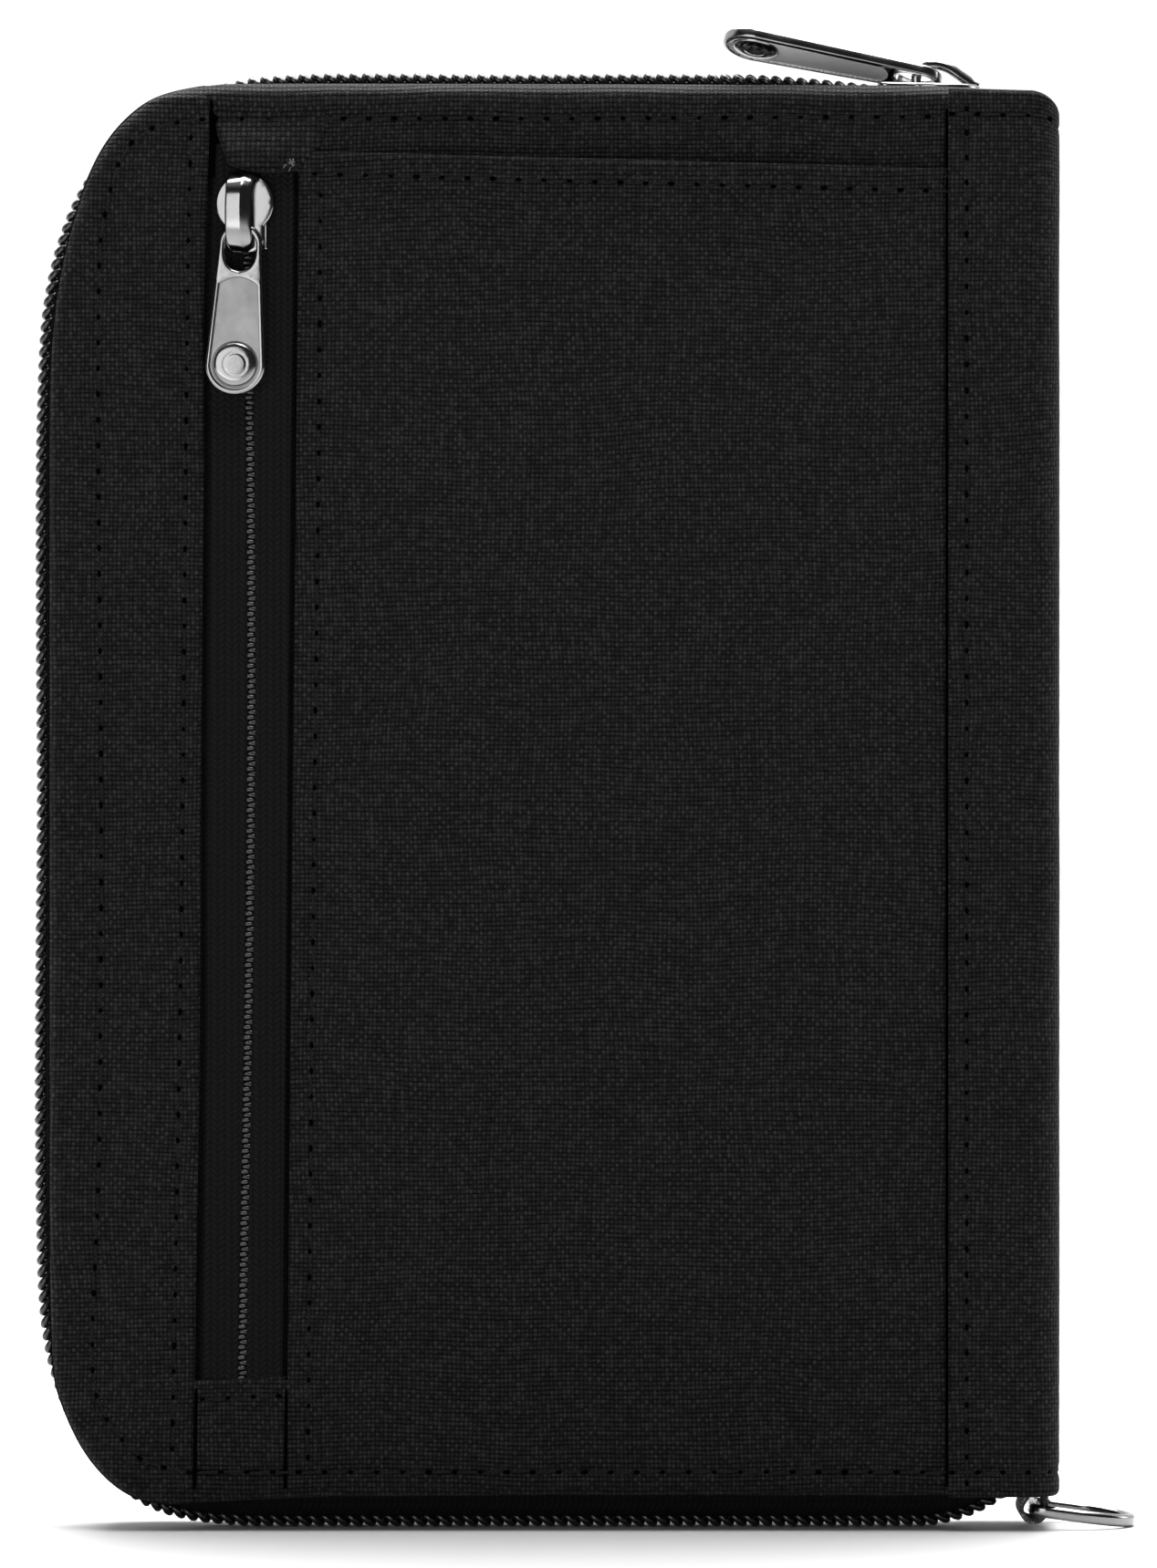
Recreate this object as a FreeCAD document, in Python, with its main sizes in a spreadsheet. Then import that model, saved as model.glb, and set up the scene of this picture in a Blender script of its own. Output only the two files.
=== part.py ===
"""Zip-around passport holder wallet, closed and standing on its bottom zip run.

Frame: +X towards the spine, +Z up, back cover on the -Y side, Y = 0 halfway through the
thickness, Z = 0 on the lowest line of the zip.  Millimetres and degrees.
"""
import FreeCAD, Part
import math
import os
import Sketcher

SHEET = "Sizes"
SMALLEST_VOLUME = 0.05

SIZES = {
    # zip chain around three sides: outer line of the teeth
    "chain_left": 52.9, "chain_height": 149.22, "top_slope": 1.5, "corner_radius": 22.5,
    "end_radius": 16.7, "end_bend": 37.7, "chain_end": 47.5, "coil_end": 41.5,
    "coil_inner": 0.15, "coil_outer": 2.9, "coil_depth": 1.6,
    "band_inner": 1.05, "band_outer": 4.9, "band_thick": 0.6,
    # layers of a cover, as distances from the middle plane
    "lining_face": 4.9, "lining_back": 5.2, "board_back": 5.9, "fill_back": 7.3,
    "base_back": 7.7, "panel_back": 8.1, "spine_strip_back": 8.6,
    # outline of the cover's outer fabric
    "cover_left": 51.2, "cover_top": 148.7, "cover_bottom": 3.6, "cover_round": 20.8,
    "cover_right": 51.35, "lining_inset": 1.9, "lining_right": 50.7, "board_inset": 1.7,
    "lining_foot": 5.4, "board_right": 49.5, "fill_right": 43.9,
    # back cover: edge strip, slip pocket, zip pocket
    "strip_edge_top": 35.6, "strip_edge_foot": 36.2, "slip_edge_top": 25.5,
    "slip_edge_foot": 26.8, "slip_left_top": 141.6, "slip_right_top": 140.1,
    "slip_right": 44.0, "spine_strip_edge": 41.1, "seam_gap": 0.05,
    "zip_line": 31.0, "zip_half": 6.0, "zip_foot": 14.3, "zip_top": 142.9,
    "zip_slit": 0.5, "pocket_coil_gap": 0.1, "pocket_coil_half": 1.75,
    "pocket_coil_inner": 6.7, "pocket_coil_top": 137.0,
    "bag_left": 38.6, "bag_right": 38.0, "bag_foot": 12.0, "bag_top": 144.0, "bag_wall": 0.15,
    "patch_top": 15.7, "patch_back": 8.0, "tuck_foot": 141.1, "tuck_slant": 3.0,
    "tack_long": 1.5,
    "tack_high": 0.9, "tack_back": 8.3,
    # spine
    "spine_outer": 52.9, "spine_mid": 52.2, "spine_inner": 51.6,
    "spine_half": 7.1, "spine_foot": 3.5,
    # inside pockets
    "overcut": 1.0, "sheet_thick": 0.25, "slot_space": 0.25, "slot_half": 44.5, "slot_foot": 10.0,
    "slot_top": 112.0, "slot_step": 20.0, "paper_half": 46.0, "paper_foot": 8.0,
    "paper_top": 138.0, "sleeve_half": 45.6, "sleeve_face": 0.1, "sleeve_wall": 0.35,
    "sleeve_foot": 8.4, "sleeve_top": 112.0,
    # ring and its webbing loop
    "ring_pivot": 50.05, "ring_height": 1.98, "ring_tilt": 7.0, "ring_bend": 5.5,
    "ring_leg": 4.8, "ring_thick": 0.9, "ring_tall": 1.3, "loop_hole": 1.0,
    "loop_wall": 0.55, "loop_half": 4.0, "loop_top": 12.0,
    # main slider and its puller
    "slider_place": 39.35, "slider_half": 5.45, "slider_wing": 4.4, "slider_waist": 3.75,
    "slider_channel": 3.15, "plate_foot": 0.15, "plate_top": 0.65, "flange_foot": 1.45,
    "under_top": 2.4, "under_foot": 3.05, "post_left": 2.5, "post_right": 4.6,
    "post_half": 0.7, "crown_half": 0.85, "crown_left": 1.5, "crown_right": 5.3,
    "crown_peak": 1.3, "crown_top": 3.2, "crown_wall": 0.65, "crown_lean": 0.5,
    "crown_right_knee": 0.45, "crown_left_knee": 0.6, "crown_flat_right": 1.3,
    "crown_flat_left": 0.9,
    "pull_pivot_x": 0.95, "pull_pivot_z": 1.75, "pull_pitch": 10.0, "pull_roll": 17.0,
    "pull_long": 22.9, "pull_small": 2.5, "pull_big": 3.4, "pull_thick": 0.9,
    "pull_bar": 0.8, "pull_hole": 3.8, "pull_side": 0.7, "pull_rim": 0.5,
    "pull_recess": 0.2, "pull_boss": 2.5, "pull_boss_tall": 0.25,
    # pocket slider and its puller
    "small_place": 135.2, "small_half": 4.1, "small_wing": 3.1, "small_waist": 2.7,
    "small_under_inner": 6.15, "small_under_back": 6.55, "small_channel": 1.95,
    "small_flange": 7.15, "small_plate_inner": 7.9, "small_plate_back": 8.5,
    "small_post_foot": 2.1, "small_post_top": 3.5, "small_post_half": 0.38,
    "small_crown_half": 1.15, "small_crown_peak": 0.4, "small_crown_back": 10.85,
    "small_crown_wall": 0.7, "small_crown_foot": 0.3, "small_crown_head": 0.2,
    "small_crown_knee": 0.5, "small_crown_lean": 0.6, "small_crown_flat_up": 1.2,
    "small_crown_flat_down": 2.4, "tag_pivot_z": 133.6, "tag_pivot_y": 9.33, "tag_long": 18.0,
    "tag_small": 2.3, "tag_big": 3.15, "tag_thick": 1.0, "tag_bar": 1.2, "tag_hole": 3.6,
    "tag_side": 0.65, "tag_rim": 0.45, "tag_recess": 0.22, "tag_boss": 2.27,
    "tag_boss_tall": 0.25,
}


class Term:
    """A size held twice: as a number, and as the spreadsheet expression that gives it."""

    def __init__(self, value, text):
        self.value = value
        self.text = text

    def _join(self, other, sign, value):
        return Term(value, f"({self.text} {sign} {other.text})")

    def __add__(self, other):
        other = term(other)
        return self._join(other, "+", self.value + other.value)

    def __sub__(self, other):
        other = term(other)
        return self._join(other, "-", self.value - other.value)

    def __mul__(self, other):
        other = term(other)
        return self._join(other, "*", self.value * other.value)

    def __truediv__(self, other):
        other = term(other)
        return self._join(other, "/", self.value / other.value)

    def __neg__(self):
        return Term(-self.value, f"(0 - {self.text})")


def term(value):
    return value if isinstance(value, Term) else Term(float(value), repr(float(value)))


def tangent(angle):
    return Term(math.tan(math.radians(angle.value)), f"tan({angle.text} * 1 deg)")


class Sheet:
    """The spreadsheet's sizes, each read as a Term by its alias."""

    def __getattr__(self, alias):
        return Term(SIZES[alias], f"{SHEET}.{alias}")


doc = FreeCAD.newDocument("PassportWallet")
z = Sheet()
NODES = []


def fill_sheet():
    sheet = doc.addObject("Spreadsheet::Sheet", SHEET)
    for row, (alias, value) in enumerate(SIZES.items(), start=1):
        sheet.set(f"A{row}", alias)
        sheet.set(f"B{row}", str(value))
        sheet.setAlias(f"B{row}", alias)
    doc.recompute()


def bind(obj, prop, size):
    obj.setExpression(prop, size.text)


def new_body(name):
    body = doc.addObject("PartDesign::Body", name.title().replace("_", ""))
    body.Label = name
    NODES.append(body)
    return body


def new_sketch(body, plane, offset):
    """A sketch on one of the body's origin planes, moved along the plane's normal."""
    sketch = body.newObject("Sketcher::SketchObject", "Sketch")
    support = [f for f in body.Origin.OriginFeatures if f.Role == plane][0]
    sketch.AttachmentSupport = [(support, "")]
    sketch.MapMode = "FlatFace"
    bind(sketch, "AttachmentOffset.Base.z", term(offset))
    return sketch


def pin_point(sketch, geometry, position, place):
    """Hold one point of a sketch at a place given by two sizes."""
    for kind, size in zip(("DistanceX", "DistanceY"), place):
        size = term(size)
        index = sketch.addConstraint(
            Sketcher.Constraint(kind, -1, 1, geometry, position, size.value))
        sketch.setExpression(f"Constraints[{index}]", size.text)


def hold(sketch, kind, geometry, size):
    index = sketch.addConstraint(Sketcher.Constraint(kind, geometry, size.value))
    sketch.setExpression(f"Constraints[{index}]", size.text)


def vector(place):
    return FreeCAD.Vector(term(place[0]).value, term(place[1]).value, 0)


def polygon(body, plane, offset, points):
    sketch = new_sketch(body, plane, offset)
    count = len(points)
    for i in range(count):
        sketch.addGeometry(Part.LineSegment(vector(points[i]), vector(points[(i + 1) % count])))
    for i in range(count):
        sketch.addConstraint(Sketcher.Constraint("Coincident", i, 2, (i + 1) % count, 1))
    for i in range(count):
        pin_point(sketch, i, 1, points[i])
    return sketch


def circle(body, plane, offset, centre, radius):
    sketch = new_sketch(body, plane, offset)
    normal = FreeCAD.Vector(0, 0, 1)
    sketch.addGeometry(Part.Circle(vector(centre), normal, radius.value))
    pin_point(sketch, 0, 3, centre)
    hold(sketch, "Radius", 0, radius)
    return sketch


def arc(centre, radius, start, end):
    whole = Part.Circle(centre, FreeCAD.Vector(0, 0, 1), radius)
    return Part.ArcOfCircle(whole, start, end)


def teardrop(body, offset, small, big, top, foot):
    """Two arcs joined by tangent lines: a small round above and a big one below, in XY."""
    span = top.value - foot.value
    lean = math.asin((big.value - small.value) / span)
    upper, lower = FreeCAD.Vector(0, top.value, 0), FreeCAD.Vector(0, foot.value, 0)
    sketch = new_sketch(body, "XY_Plane", offset)
    side = FreeCAD.Vector(math.cos(lean), math.sin(lean), 0)
    mirror = FreeCAD.Vector(-side.x, side.y, 0)
    sketch.addGeometry(arc(upper, small.value, lean, math.pi - lean))
    sketch.addGeometry(Part.LineSegment(upper + mirror * small.value, lower + mirror * big.value))
    sketch.addGeometry(arc(lower, big.value, math.pi - lean, 2 * math.pi + lean))
    sketch.addGeometry(Part.LineSegment(lower + side * big.value, upper + side * small.value))
    for i in range(4):
        sketch.addConstraint(Sketcher.Constraint("Tangent", i, 2, (i + 1) % 4, 1))
    pin_point(sketch, 0, 3, (0, top))
    pin_point(sketch, 2, 3, (0, foot))
    hold(sketch, "Radius", 0, small)
    hold(sketch, "Radius", 2, big)
    return sketch


def pad(body, sketch, length, back=False):
    feature = body.newObject("PartDesign::Pad", "Pad")
    feature.Profile = sketch
    bind(feature, "Length", term(length))
    feature.Reversed = back
    return feature


def pocket(body, sketch, length, along=True):
    """Cut from the sketch, along its normal or against it; the body must lose volume."""
    doc.recompute()
    before = body.Shape.Volume
    feature = body.newObject("PartDesign::Pocket", "Pocket")
    feature.Profile = sketch
    bind(feature, "Length", term(length))
    feature.Reversed = along
    doc.recompute()
    if body.Shape.Volume > before - 1e-3:
        raise RuntimeError(f"{body.Label}: a pocket cut nothing")
    return feature


def round_edges(body, feature, radius, wanted):
    """Fillet the edges of a feature that wanted() picks."""
    doc.recompute()
    names = [f"Edge{i}" for i, edge in enumerate(feature.Shape.Edges, start=1) if wanted(edge)]
    fillet = body.newObject("PartDesign::Fillet", "Fillet")
    fillet.Base = (feature, names)
    bind(fillet, "Radius", term(radius))
    doc.recompute()
    return fillet


def edges_at(points):
    """Pick the straight edges along Y that pass through the given X, Z places."""
    def wanted(edge):
        ends = [v.Point for v in edge.Vertexes]
        if len(ends) != 2 or abs(ends[0].x - ends[1].x) + abs(ends[0].z - ends[1].z) > 1e-4:
            return False
        return any(math.hypot(ends[0].x - x, ends[0].z - y) < 1e-3 for x, y in points)
    return wanted


def plate(name, side, inner, outer, points, rounds=(), radius=None):
    """A flat layer of a cover: side -1 is the back cover, +1 the front one."""
    body = new_body(name)
    offset = inner if side < 0 else -outer
    sketch = polygon(body, "XZ_Plane", offset, points)
    feature = pad(body, sketch, outer - inner)
    if rounds:
        corners = [(term(points[i][0]).value, term(points[i][1]).value) for i in rounds]
        round_edges(body, feature, radius, edges_at(corners))
    return body


def window(body, side, inner, outer, points):
    offset = inner if side < 0 else -outer
    pocket(body, polygon(body, "XZ_Plane", offset, points), outer - inner)


def rectangle(left, right, foot, top):
    return [(left, foot), (right, foot), (right, top), (left, top)]


def chain_top(x, inset=0.0):
    """Height of the zip's outer line, or of a line inside it, on the sloping top run."""
    return z.chain_height - term(x) * tangent(z.top_slope) - term(inset)


def block(low, high):
    """A box between two corners, each given by three sizes."""
    box = doc.addObject("Part::Box", "Box")
    for prop, a, b in zip(("Length", "Width", "Height"), low, high):
        bind(box, prop, term(b) - term(a))
    for axis, a in zip("xyz", low):
        bind(box, f"Placement.Base.{axis}", term(a))
    return box


def boolean(kind, name, base, tool):
    result = doc.addObject(f"Part::{kind}", name.title().replace("_", ""))
    result.Base = base
    result.Tool = tool
    return result


# ---------------------------------------------------------------- zip around the wallet

def chain_path(body, inset, top_end):
    """The zip's line: sloping top run, two round corners, bottom run, upturned end."""
    sketch = new_sketch(body, "XZ_Plane", 0)
    slope = math.radians(z.top_slope.value)
    left, corner = -(z.chain_left - inset), z.corner_radius - inset
    end = z.end_radius - inset
    start = (top_end, chain_top(top_end, inset))
    centre_x, centre_low = left.value + corner.value, inset.value + corner.value
    centre_high = chain_top(centre_x, inset).value - corner.value / math.cos(slope)
    high, low = FreeCAD.Vector(centre_x, centre_high), FreeCAD.Vector(centre_x, centre_low)
    turn = FreeCAD.Vector(z.end_bend.value, z.end_radius.value)
    swing = math.asin((z.chain_end.value - turn.x) / end.value)
    top_arc = arc(high, corner.value, math.pi / 2 - slope, math.pi)
    foot_arc = arc(low, corner.value, math.pi, 1.5 * math.pi)
    end_arc = arc(turn, end.value, 1.5 * math.pi, 1.5 * math.pi + swing)
    top_line = Part.LineSegment(vector(start), top_arc.StartPoint)
    left_line = Part.LineSegment(top_arc.EndPoint, foot_arc.StartPoint)
    foot_line = Part.LineSegment(foot_arc.EndPoint, end_arc.StartPoint)
    for geometry in (top_line, top_arc, left_line, foot_arc, foot_line, end_arc):
        sketch.addGeometry(geometry)
    for i in range(5):
        sketch.addConstraint(Sketcher.Constraint("Tangent", i, 2, i + 1, 1))
    sketch.addConstraint(Sketcher.Constraint("Vertical", 2))
    sketch.addConstraint(Sketcher.Constraint("Horizontal", 4))
    for geometry, radius in ((1, corner), (3, corner), (5, end)):
        hold(sketch, "Radius", geometry, radius)
    pin_point(sketch, 0, 1, start)
    pin_axis(sketch, "DistanceX", 2, 1, left)
    pin_axis(sketch, "DistanceY", 4, 1, inset)
    pin_axis(sketch, "DistanceX", 5, 1, z.end_bend)
    pin_axis(sketch, "DistanceX", 5, 2, z.chain_end)
    return sketch


def pin_axis(sketch, kind, geometry, position, size):
    index = sketch.addConstraint(
        Sketcher.Constraint(kind, -1, 1, geometry, position, size.value))
    sketch.setExpression(f"Constraints[{index}]", size.text)


def chain_band(name, side, near, far, shallow, deep, top_end):
    """A band of constant section swept along the zip's line on one side of the middle."""
    body = new_body(name)
    path = chain_path(body, shallow, top_end)
    near, far = (near, far) if side > 0 else (-far, -near)
    roof = chain_top(top_end, shallow)
    section = polygon(body, "YZ_Plane", top_end,
                      rectangle(near, far, roof - (deep - shallow), roof))
    doc.recompute()
    pipe = body.newObject("PartDesign::AdditivePipe", "Band")
    pipe.Profile = section
    pipe.Spine = (path, [f"Edge{i}" for i in range(1, 7)])
    return body


def zip_around():
    for word, side in (("back", -1), ("front", 1)):
        chain_band(f"{word}_zip_coil", side, z.coil_inner, z.coil_outer,
                   term(0.0), z.coil_depth, z.coil_end)
        chain_band(f"{word}_zip_tape", side, z.band_inner, z.band_outer,
                   z.coil_depth, z.coil_depth + z.band_thick, z.chain_end)


# ---------------------------------------------------------------- covers

def cover_layers():
    """Linings, stiffening boards and soft fillers, alike in both covers."""
    for word, side in (("back", -1), ("front", 1)):
        left = -(z.chain_left - z.lining_inset)
        lining = [(left, z.lining_inset), (z.end_bend, z.lining_inset),
                  (z.chain_end, z.lining_foot), (z.lining_right, z.lining_foot),
                  (z.lining_right, chain_top(z.lining_right, z.lining_inset)),
                  (left, chain_top(left, z.lining_inset))]
        plate(f"{word}_lining", side, z.lining_face, z.lining_back, lining, (0, 5),
              z.corner_radius - z.lining_inset)
        left, foot = -(z.cover_left - z.board_inset), z.cover_bottom + z.board_inset
        top = z.cover_top - z.board_inset * 2
        board = rectangle(left, z.board_right, foot, top)
        plate(f"{word}_board", side, z.lining_back, z.board_back, board, (0, 3),
              z.cover_round - z.board_inset)
        fill = rectangle(left, z.fill_right, foot, top)
        filler = plate(f"{word}_padding", side, z.board_back, z.fill_back, fill, (0, 3),
                       z.cover_round - z.board_inset)
        if side < 0:
            room = z.seam_gap
            hole = rectangle(-z.bag_left - room, z.bag_right + room,
                             z.bag_foot - room, z.bag_top + room)
            window(filler, side, z.board_back, z.fill_back, hole)


def cover_fabric():
    left, foot, top = -z.cover_left, z.cover_bottom, z.cover_top
    base = plate("back_outer_fabric", -1, z.fill_back, z.base_back,
                 rectangle(left, z.cover_right, foot, top), (0, 3), z.cover_round)
    slot = rectangle(-z.zip_line - z.zip_half - z.seam_gap, -z.zip_line + z.zip_half + z.seam_gap,
                     z.zip_foot - z.seam_gap, z.zip_top + z.seam_gap)
    window(base, -1, z.fill_back, z.base_back, slot)
    strip_end = left + z.cover_round * 1.5
    strip = plate("left_edge_strip", -1, z.base_back, z.panel_back,
                  rectangle(left, strip_end, foot, top), (0, 3), z.cover_round)
    beyond = [(-z.strip_edge_foot, foot), (strip_end, foot), (strip_end, top),
              (-z.strip_edge_top, top)]
    window(strip, -1, z.base_back, z.panel_back, beyond)
    slip = [(-z.slip_edge_foot, foot), (z.slip_right, foot), (z.slip_right, z.slip_right_top),
            (-z.slip_edge_top, z.slip_left_top)]
    plate("slip_pocket_panel", -1, z.base_back, z.panel_back, slip)
    plate("front_outer_fabric", 1, z.fill_back, z.panel_back,
          rectangle(left, z.slip_right, foot, top), (0, 3), z.cover_round)


def spine_strips():
    """The spine fabric's two overlaps onto the covers, each stepped over a panel's edge."""
    for word, side, under in (("back", -1, z.base_back), ("front", 1, z.fill_back)):
        body = new_body(f"spine_fabric_{word}_strip")
        step = z.slip_right + z.seam_gap
        outline = [(z.spine_strip_edge, z.panel_back), (step, z.panel_back), (step, under),
                   (z.cover_right, under), (z.cover_right, z.spine_strip_back),
                   (z.spine_strip_edge, z.spine_strip_back)]
        places = [(x, y if side > 0 else -y) for x, y in outline]
        sketch = polygon(body, "XY_Plane", z.spine_foot, places)
        pad(body, sketch, z.cover_top - z.spine_foot)


# ---------------------------------------------------------------- zip pocket on the back

def zip_pocket():
    middle = -z.zip_line
    outer = block((-z.bag_left, -z.fill_back, z.bag_foot),
                  (z.bag_right, -z.board_back, z.bag_top))
    inner = block((-z.bag_left + z.bag_wall * 2, -z.fill_back - 1, z.bag_foot + z.bag_wall * 2),
                  (z.bag_right - z.bag_wall * 2, -z.board_back - z.bag_wall,
                   z.bag_top - z.bag_wall * 2))
    bag = boolean("Cut", "pocket_bag", outer, inner)
    bag.Label = "pocket_bag"
    NODES.append(bag)
    for word, hand in (("left", -1), ("right", 1)):
        tape = [middle + z.zip_slit * hand, middle + z.zip_half * hand]
        coil = [middle + z.pocket_coil_gap * hand, middle + z.pocket_coil_half * hand]
        plate(f"pocket_zip_tape_{word}", -1, z.fill_back, z.base_back,
              rectangle(*tape[::hand], z.zip_foot, z.zip_top))
        plate(f"pocket_zip_coil_{word}", -1, z.pocket_coil_inner, z.fill_back,
              rectangle(*coil[::hand], z.zip_foot, z.pocket_coil_top))
    left = -z.strip_edge_foot + z.seam_gap
    patch_rise = (z.patch_top - z.cover_bottom) / (z.cover_top - z.cover_bottom)
    drift = (z.strip_edge_foot - z.strip_edge_top) * patch_rise
    slip_drift = (z.slip_edge_foot - z.slip_edge_top) * patch_rise
    right = -z.slip_edge_foot - z.seam_gap
    patch = [(left, z.cover_bottom), (right, z.cover_bottom),
             (right + slip_drift, z.patch_top), (left + drift, z.patch_top)]
    plate("pocket_zip_end_patch", -1, z.base_back, z.patch_back, patch)
    left = -z.strip_edge_top + z.seam_gap
    right = -z.slip_edge_top - z.seam_gap
    tuck = [(left, z.tuck_foot + z.tuck_slant), (right - z.tuck_slant, z.tuck_foot),
            (right, z.tuck_foot),
            (right, z.cover_top), (left, z.cover_top)]
    plate("pocket_zip_top_tuck", -1, z.base_back, z.patch_back, tuck)
    tack_top = z.tuck_foot - z.seam_gap
    tack = rectangle(right - z.tack_long, right - z.seam_gap * 2, tack_top - z.tack_high, tack_top)
    plate("pocket_bar_tack", -1, z.base_back, z.tack_back, tack)


# ---------------------------------------------------------------- pockets inside

def tray(name, side, root, face, thick, half, foot, top):
    """A sheet sewn on along its two sides and its foot, open at the top."""
    near, far = face + thick, root
    lows, highs = (face, far) if side > 0 else (-far, -face)
    outer = block((-half, lows, foot), (half, highs, top))
    beyond = far + z.overcut
    lows, highs = (near, beyond) if side > 0 else (-beyond, -near)
    inner = block((-half + thick, lows, foot + thick), (half - thick, highs, top + z.overcut))
    pouch = boolean("Cut", name, outer, inner)
    pouch.Label = name
    NODES.append(pouch)


def inside_pockets():
    depth = z.sheet_thick + z.slot_space
    root = z.lining_face
    tray("document_pocket", -1, root, root - depth, z.sheet_thick,
         z.paper_half, z.paper_foot, z.paper_top)
    for i, word in enumerate(("upper", "middle", "lower")):
        root = root - depth
        tray(f"card_slot_{word}", -1, root, root - depth, z.sheet_thick,
             z.slot_half, z.slot_foot, z.slot_top - z.slot_step * i)
    tray("passport_sleeve", 1, z.lining_face, z.sleeve_face, z.sleeve_wall,
         z.sleeve_half, z.sleeve_foot, z.sleeve_top)


# ---------------------------------------------------------------- spine, webbing loop, ring

def spine():
    for name, inner, outer in (("spine_fabric", z.spine_mid, z.spine_outer),
                               ("spine_lining", z.spine_inner, z.spine_mid)):
        body = new_body(name)
        face = rectangle(inner, outer, -z.spine_half, z.spine_half)
        sketch = polygon(body, "XY_Plane", z.spine_foot, face)
        pad(body, sketch, z.cover_top - z.spine_foot)


def ring_loop():
    """Webbing folded round the ring's bar, its two ends sewn inside the spine."""
    body = new_body("ring_loop")
    centre = (z.ring_pivot, z.ring_height)
    outer = z.loop_hole + z.loop_wall
    pad(body, circle(body, "XZ_Plane", -z.loop_half, centre, outer), z.loop_half * 2)
    tail = rectangle(z.spine_inner - z.loop_wall, z.spine_inner, z.ring_height, z.loop_top)
    pad(body, polygon(body, "XZ_Plane", -z.loop_half, tail), z.loop_half * 2)
    hole = circle(body, "XZ_Plane", -z.loop_half, centre, z.loop_hole)
    pocket(body, hole, z.loop_half * 2)


def half_round(body, offset, left, leg, radius):
    """A D: straight bar at the left, two legs and a half circle, in XY."""
    sketch = new_sketch(body, "XY_Plane", offset)
    r = radius.value
    corners = [(left, -radius), (leg, -radius), (leg, radius), (left, radius)]
    a, b, c, d = [vector(p) for p in corners]
    sketch.addGeometry(Part.LineSegment(a, b))
    sketch.addGeometry(arc(FreeCAD.Vector(leg.value, 0, 0), r, -math.pi / 2, math.pi / 2))
    sketch.addGeometry(Part.LineSegment(c, d))
    sketch.addGeometry(Part.LineSegment(d, a))
    for i in range(4):
        sketch.addConstraint(Sketcher.Constraint("Coincident", i, 2, (i + 1) % 4, 1))
    pin_point(sketch, 0, 1, corners[0])
    pin_point(sketch, 0, 2, corners[1])
    pin_point(sketch, 1, 3, (leg, 0))
    pin_point(sketch, 3, 1, corners[3])
    pin_axis(sketch, "DistanceX", 1, 2, leg)
    return sketch


def d_ring():
    body = new_body("d_ring")
    half = z.ring_thick / 2
    low = -z.ring_tall / 2
    pad(body, half_round(body, low, -half, z.ring_leg, z.ring_bend + half), z.ring_tall)
    inner = half_round(body, low, half, z.ring_leg, z.ring_bend - half)
    pocket(body, inner, z.ring_tall)
    tilt = FreeCAD.Rotation(FreeCAD.Vector(0, 1, 0), z.ring_tilt.value)
    place = FreeCAD.Vector(z.ring_pivot.value, 0, z.ring_height.value)
    body.Placement = FreeCAD.Placement(place, tilt)


# ---------------------------------------------------------------- sliders and pullers

def crown_outline(left, right, peak, foot, top, shrink):
    """Side view of a slider's arch, as a six-sided outline above its plate."""
    left, right, top = left + shrink, right - shrink, top - shrink
    rise = top - foot
    return [(left, foot), (right, foot),
            (right - z.crown_lean, foot + rise * z.crown_right_knee),
            (peak + z.crown_flat_right, top), (peak - z.crown_flat_left, top),
            (left, foot + rise * z.crown_left_knee)]


def main_slider():
    """Slider of the main zip, in its own frame: X along the zip, Z outwards from it."""
    body = new_body("main_slider")
    half, wing, waist = z.slider_half, z.slider_wing, z.slider_waist
    plan = [(half, -waist), (half, waist), (half / 2, wing), (-half, waist), (-half, -waist),
            (half / 2, -wing)]
    pad(body, polygon(body, "XY_Plane", z.plate_foot, plan), z.plate_top - z.plate_foot)
    post = rectangle(z.post_left, z.post_right, -z.post_half, z.post_half)
    pad(body, polygon(body, "XY_Plane", -z.under_top, post), z.under_top + z.plate_foot)
    pad(body, polygon(body, "XY_Plane", -z.under_foot, plan), z.under_foot - z.under_top)
    for hand in (-1, 1):
        flange = [(-half, z.slider_channel * hand), (half / 2, z.slider_channel * hand),
                  (half / 2, wing * hand), (-half, waist * hand)]
        sketch = polygon(body, "XY_Plane", -z.flange_foot, flange)
        pad(body, sketch, z.flange_foot + z.plate_foot)
    arch = crown_outline(-z.crown_left, z.crown_right, z.crown_peak, z.plate_top, z.crown_top,
                         term(0.0))
    pad(body, polygon(body, "XZ_Plane", -z.crown_half, arch), z.crown_half * 2)
    hole = crown_outline(-z.crown_left, z.crown_right, z.crown_peak, z.plate_top, z.crown_top,
                         z.crown_wall)
    pocket(body, polygon(body, "XZ_Plane", -z.crown_half, hole), z.crown_half * 2)
    body.Placement = slider_frame()


def slider_frame():
    slope = FreeCAD.Rotation(FreeCAD.Vector(0, 1, 0), z.top_slope.value)
    place = FreeCAD.Vector(z.slider_place.value, 0, chain_top(z.slider_place).value)
    return FreeCAD.Placement(place, slope)


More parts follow.
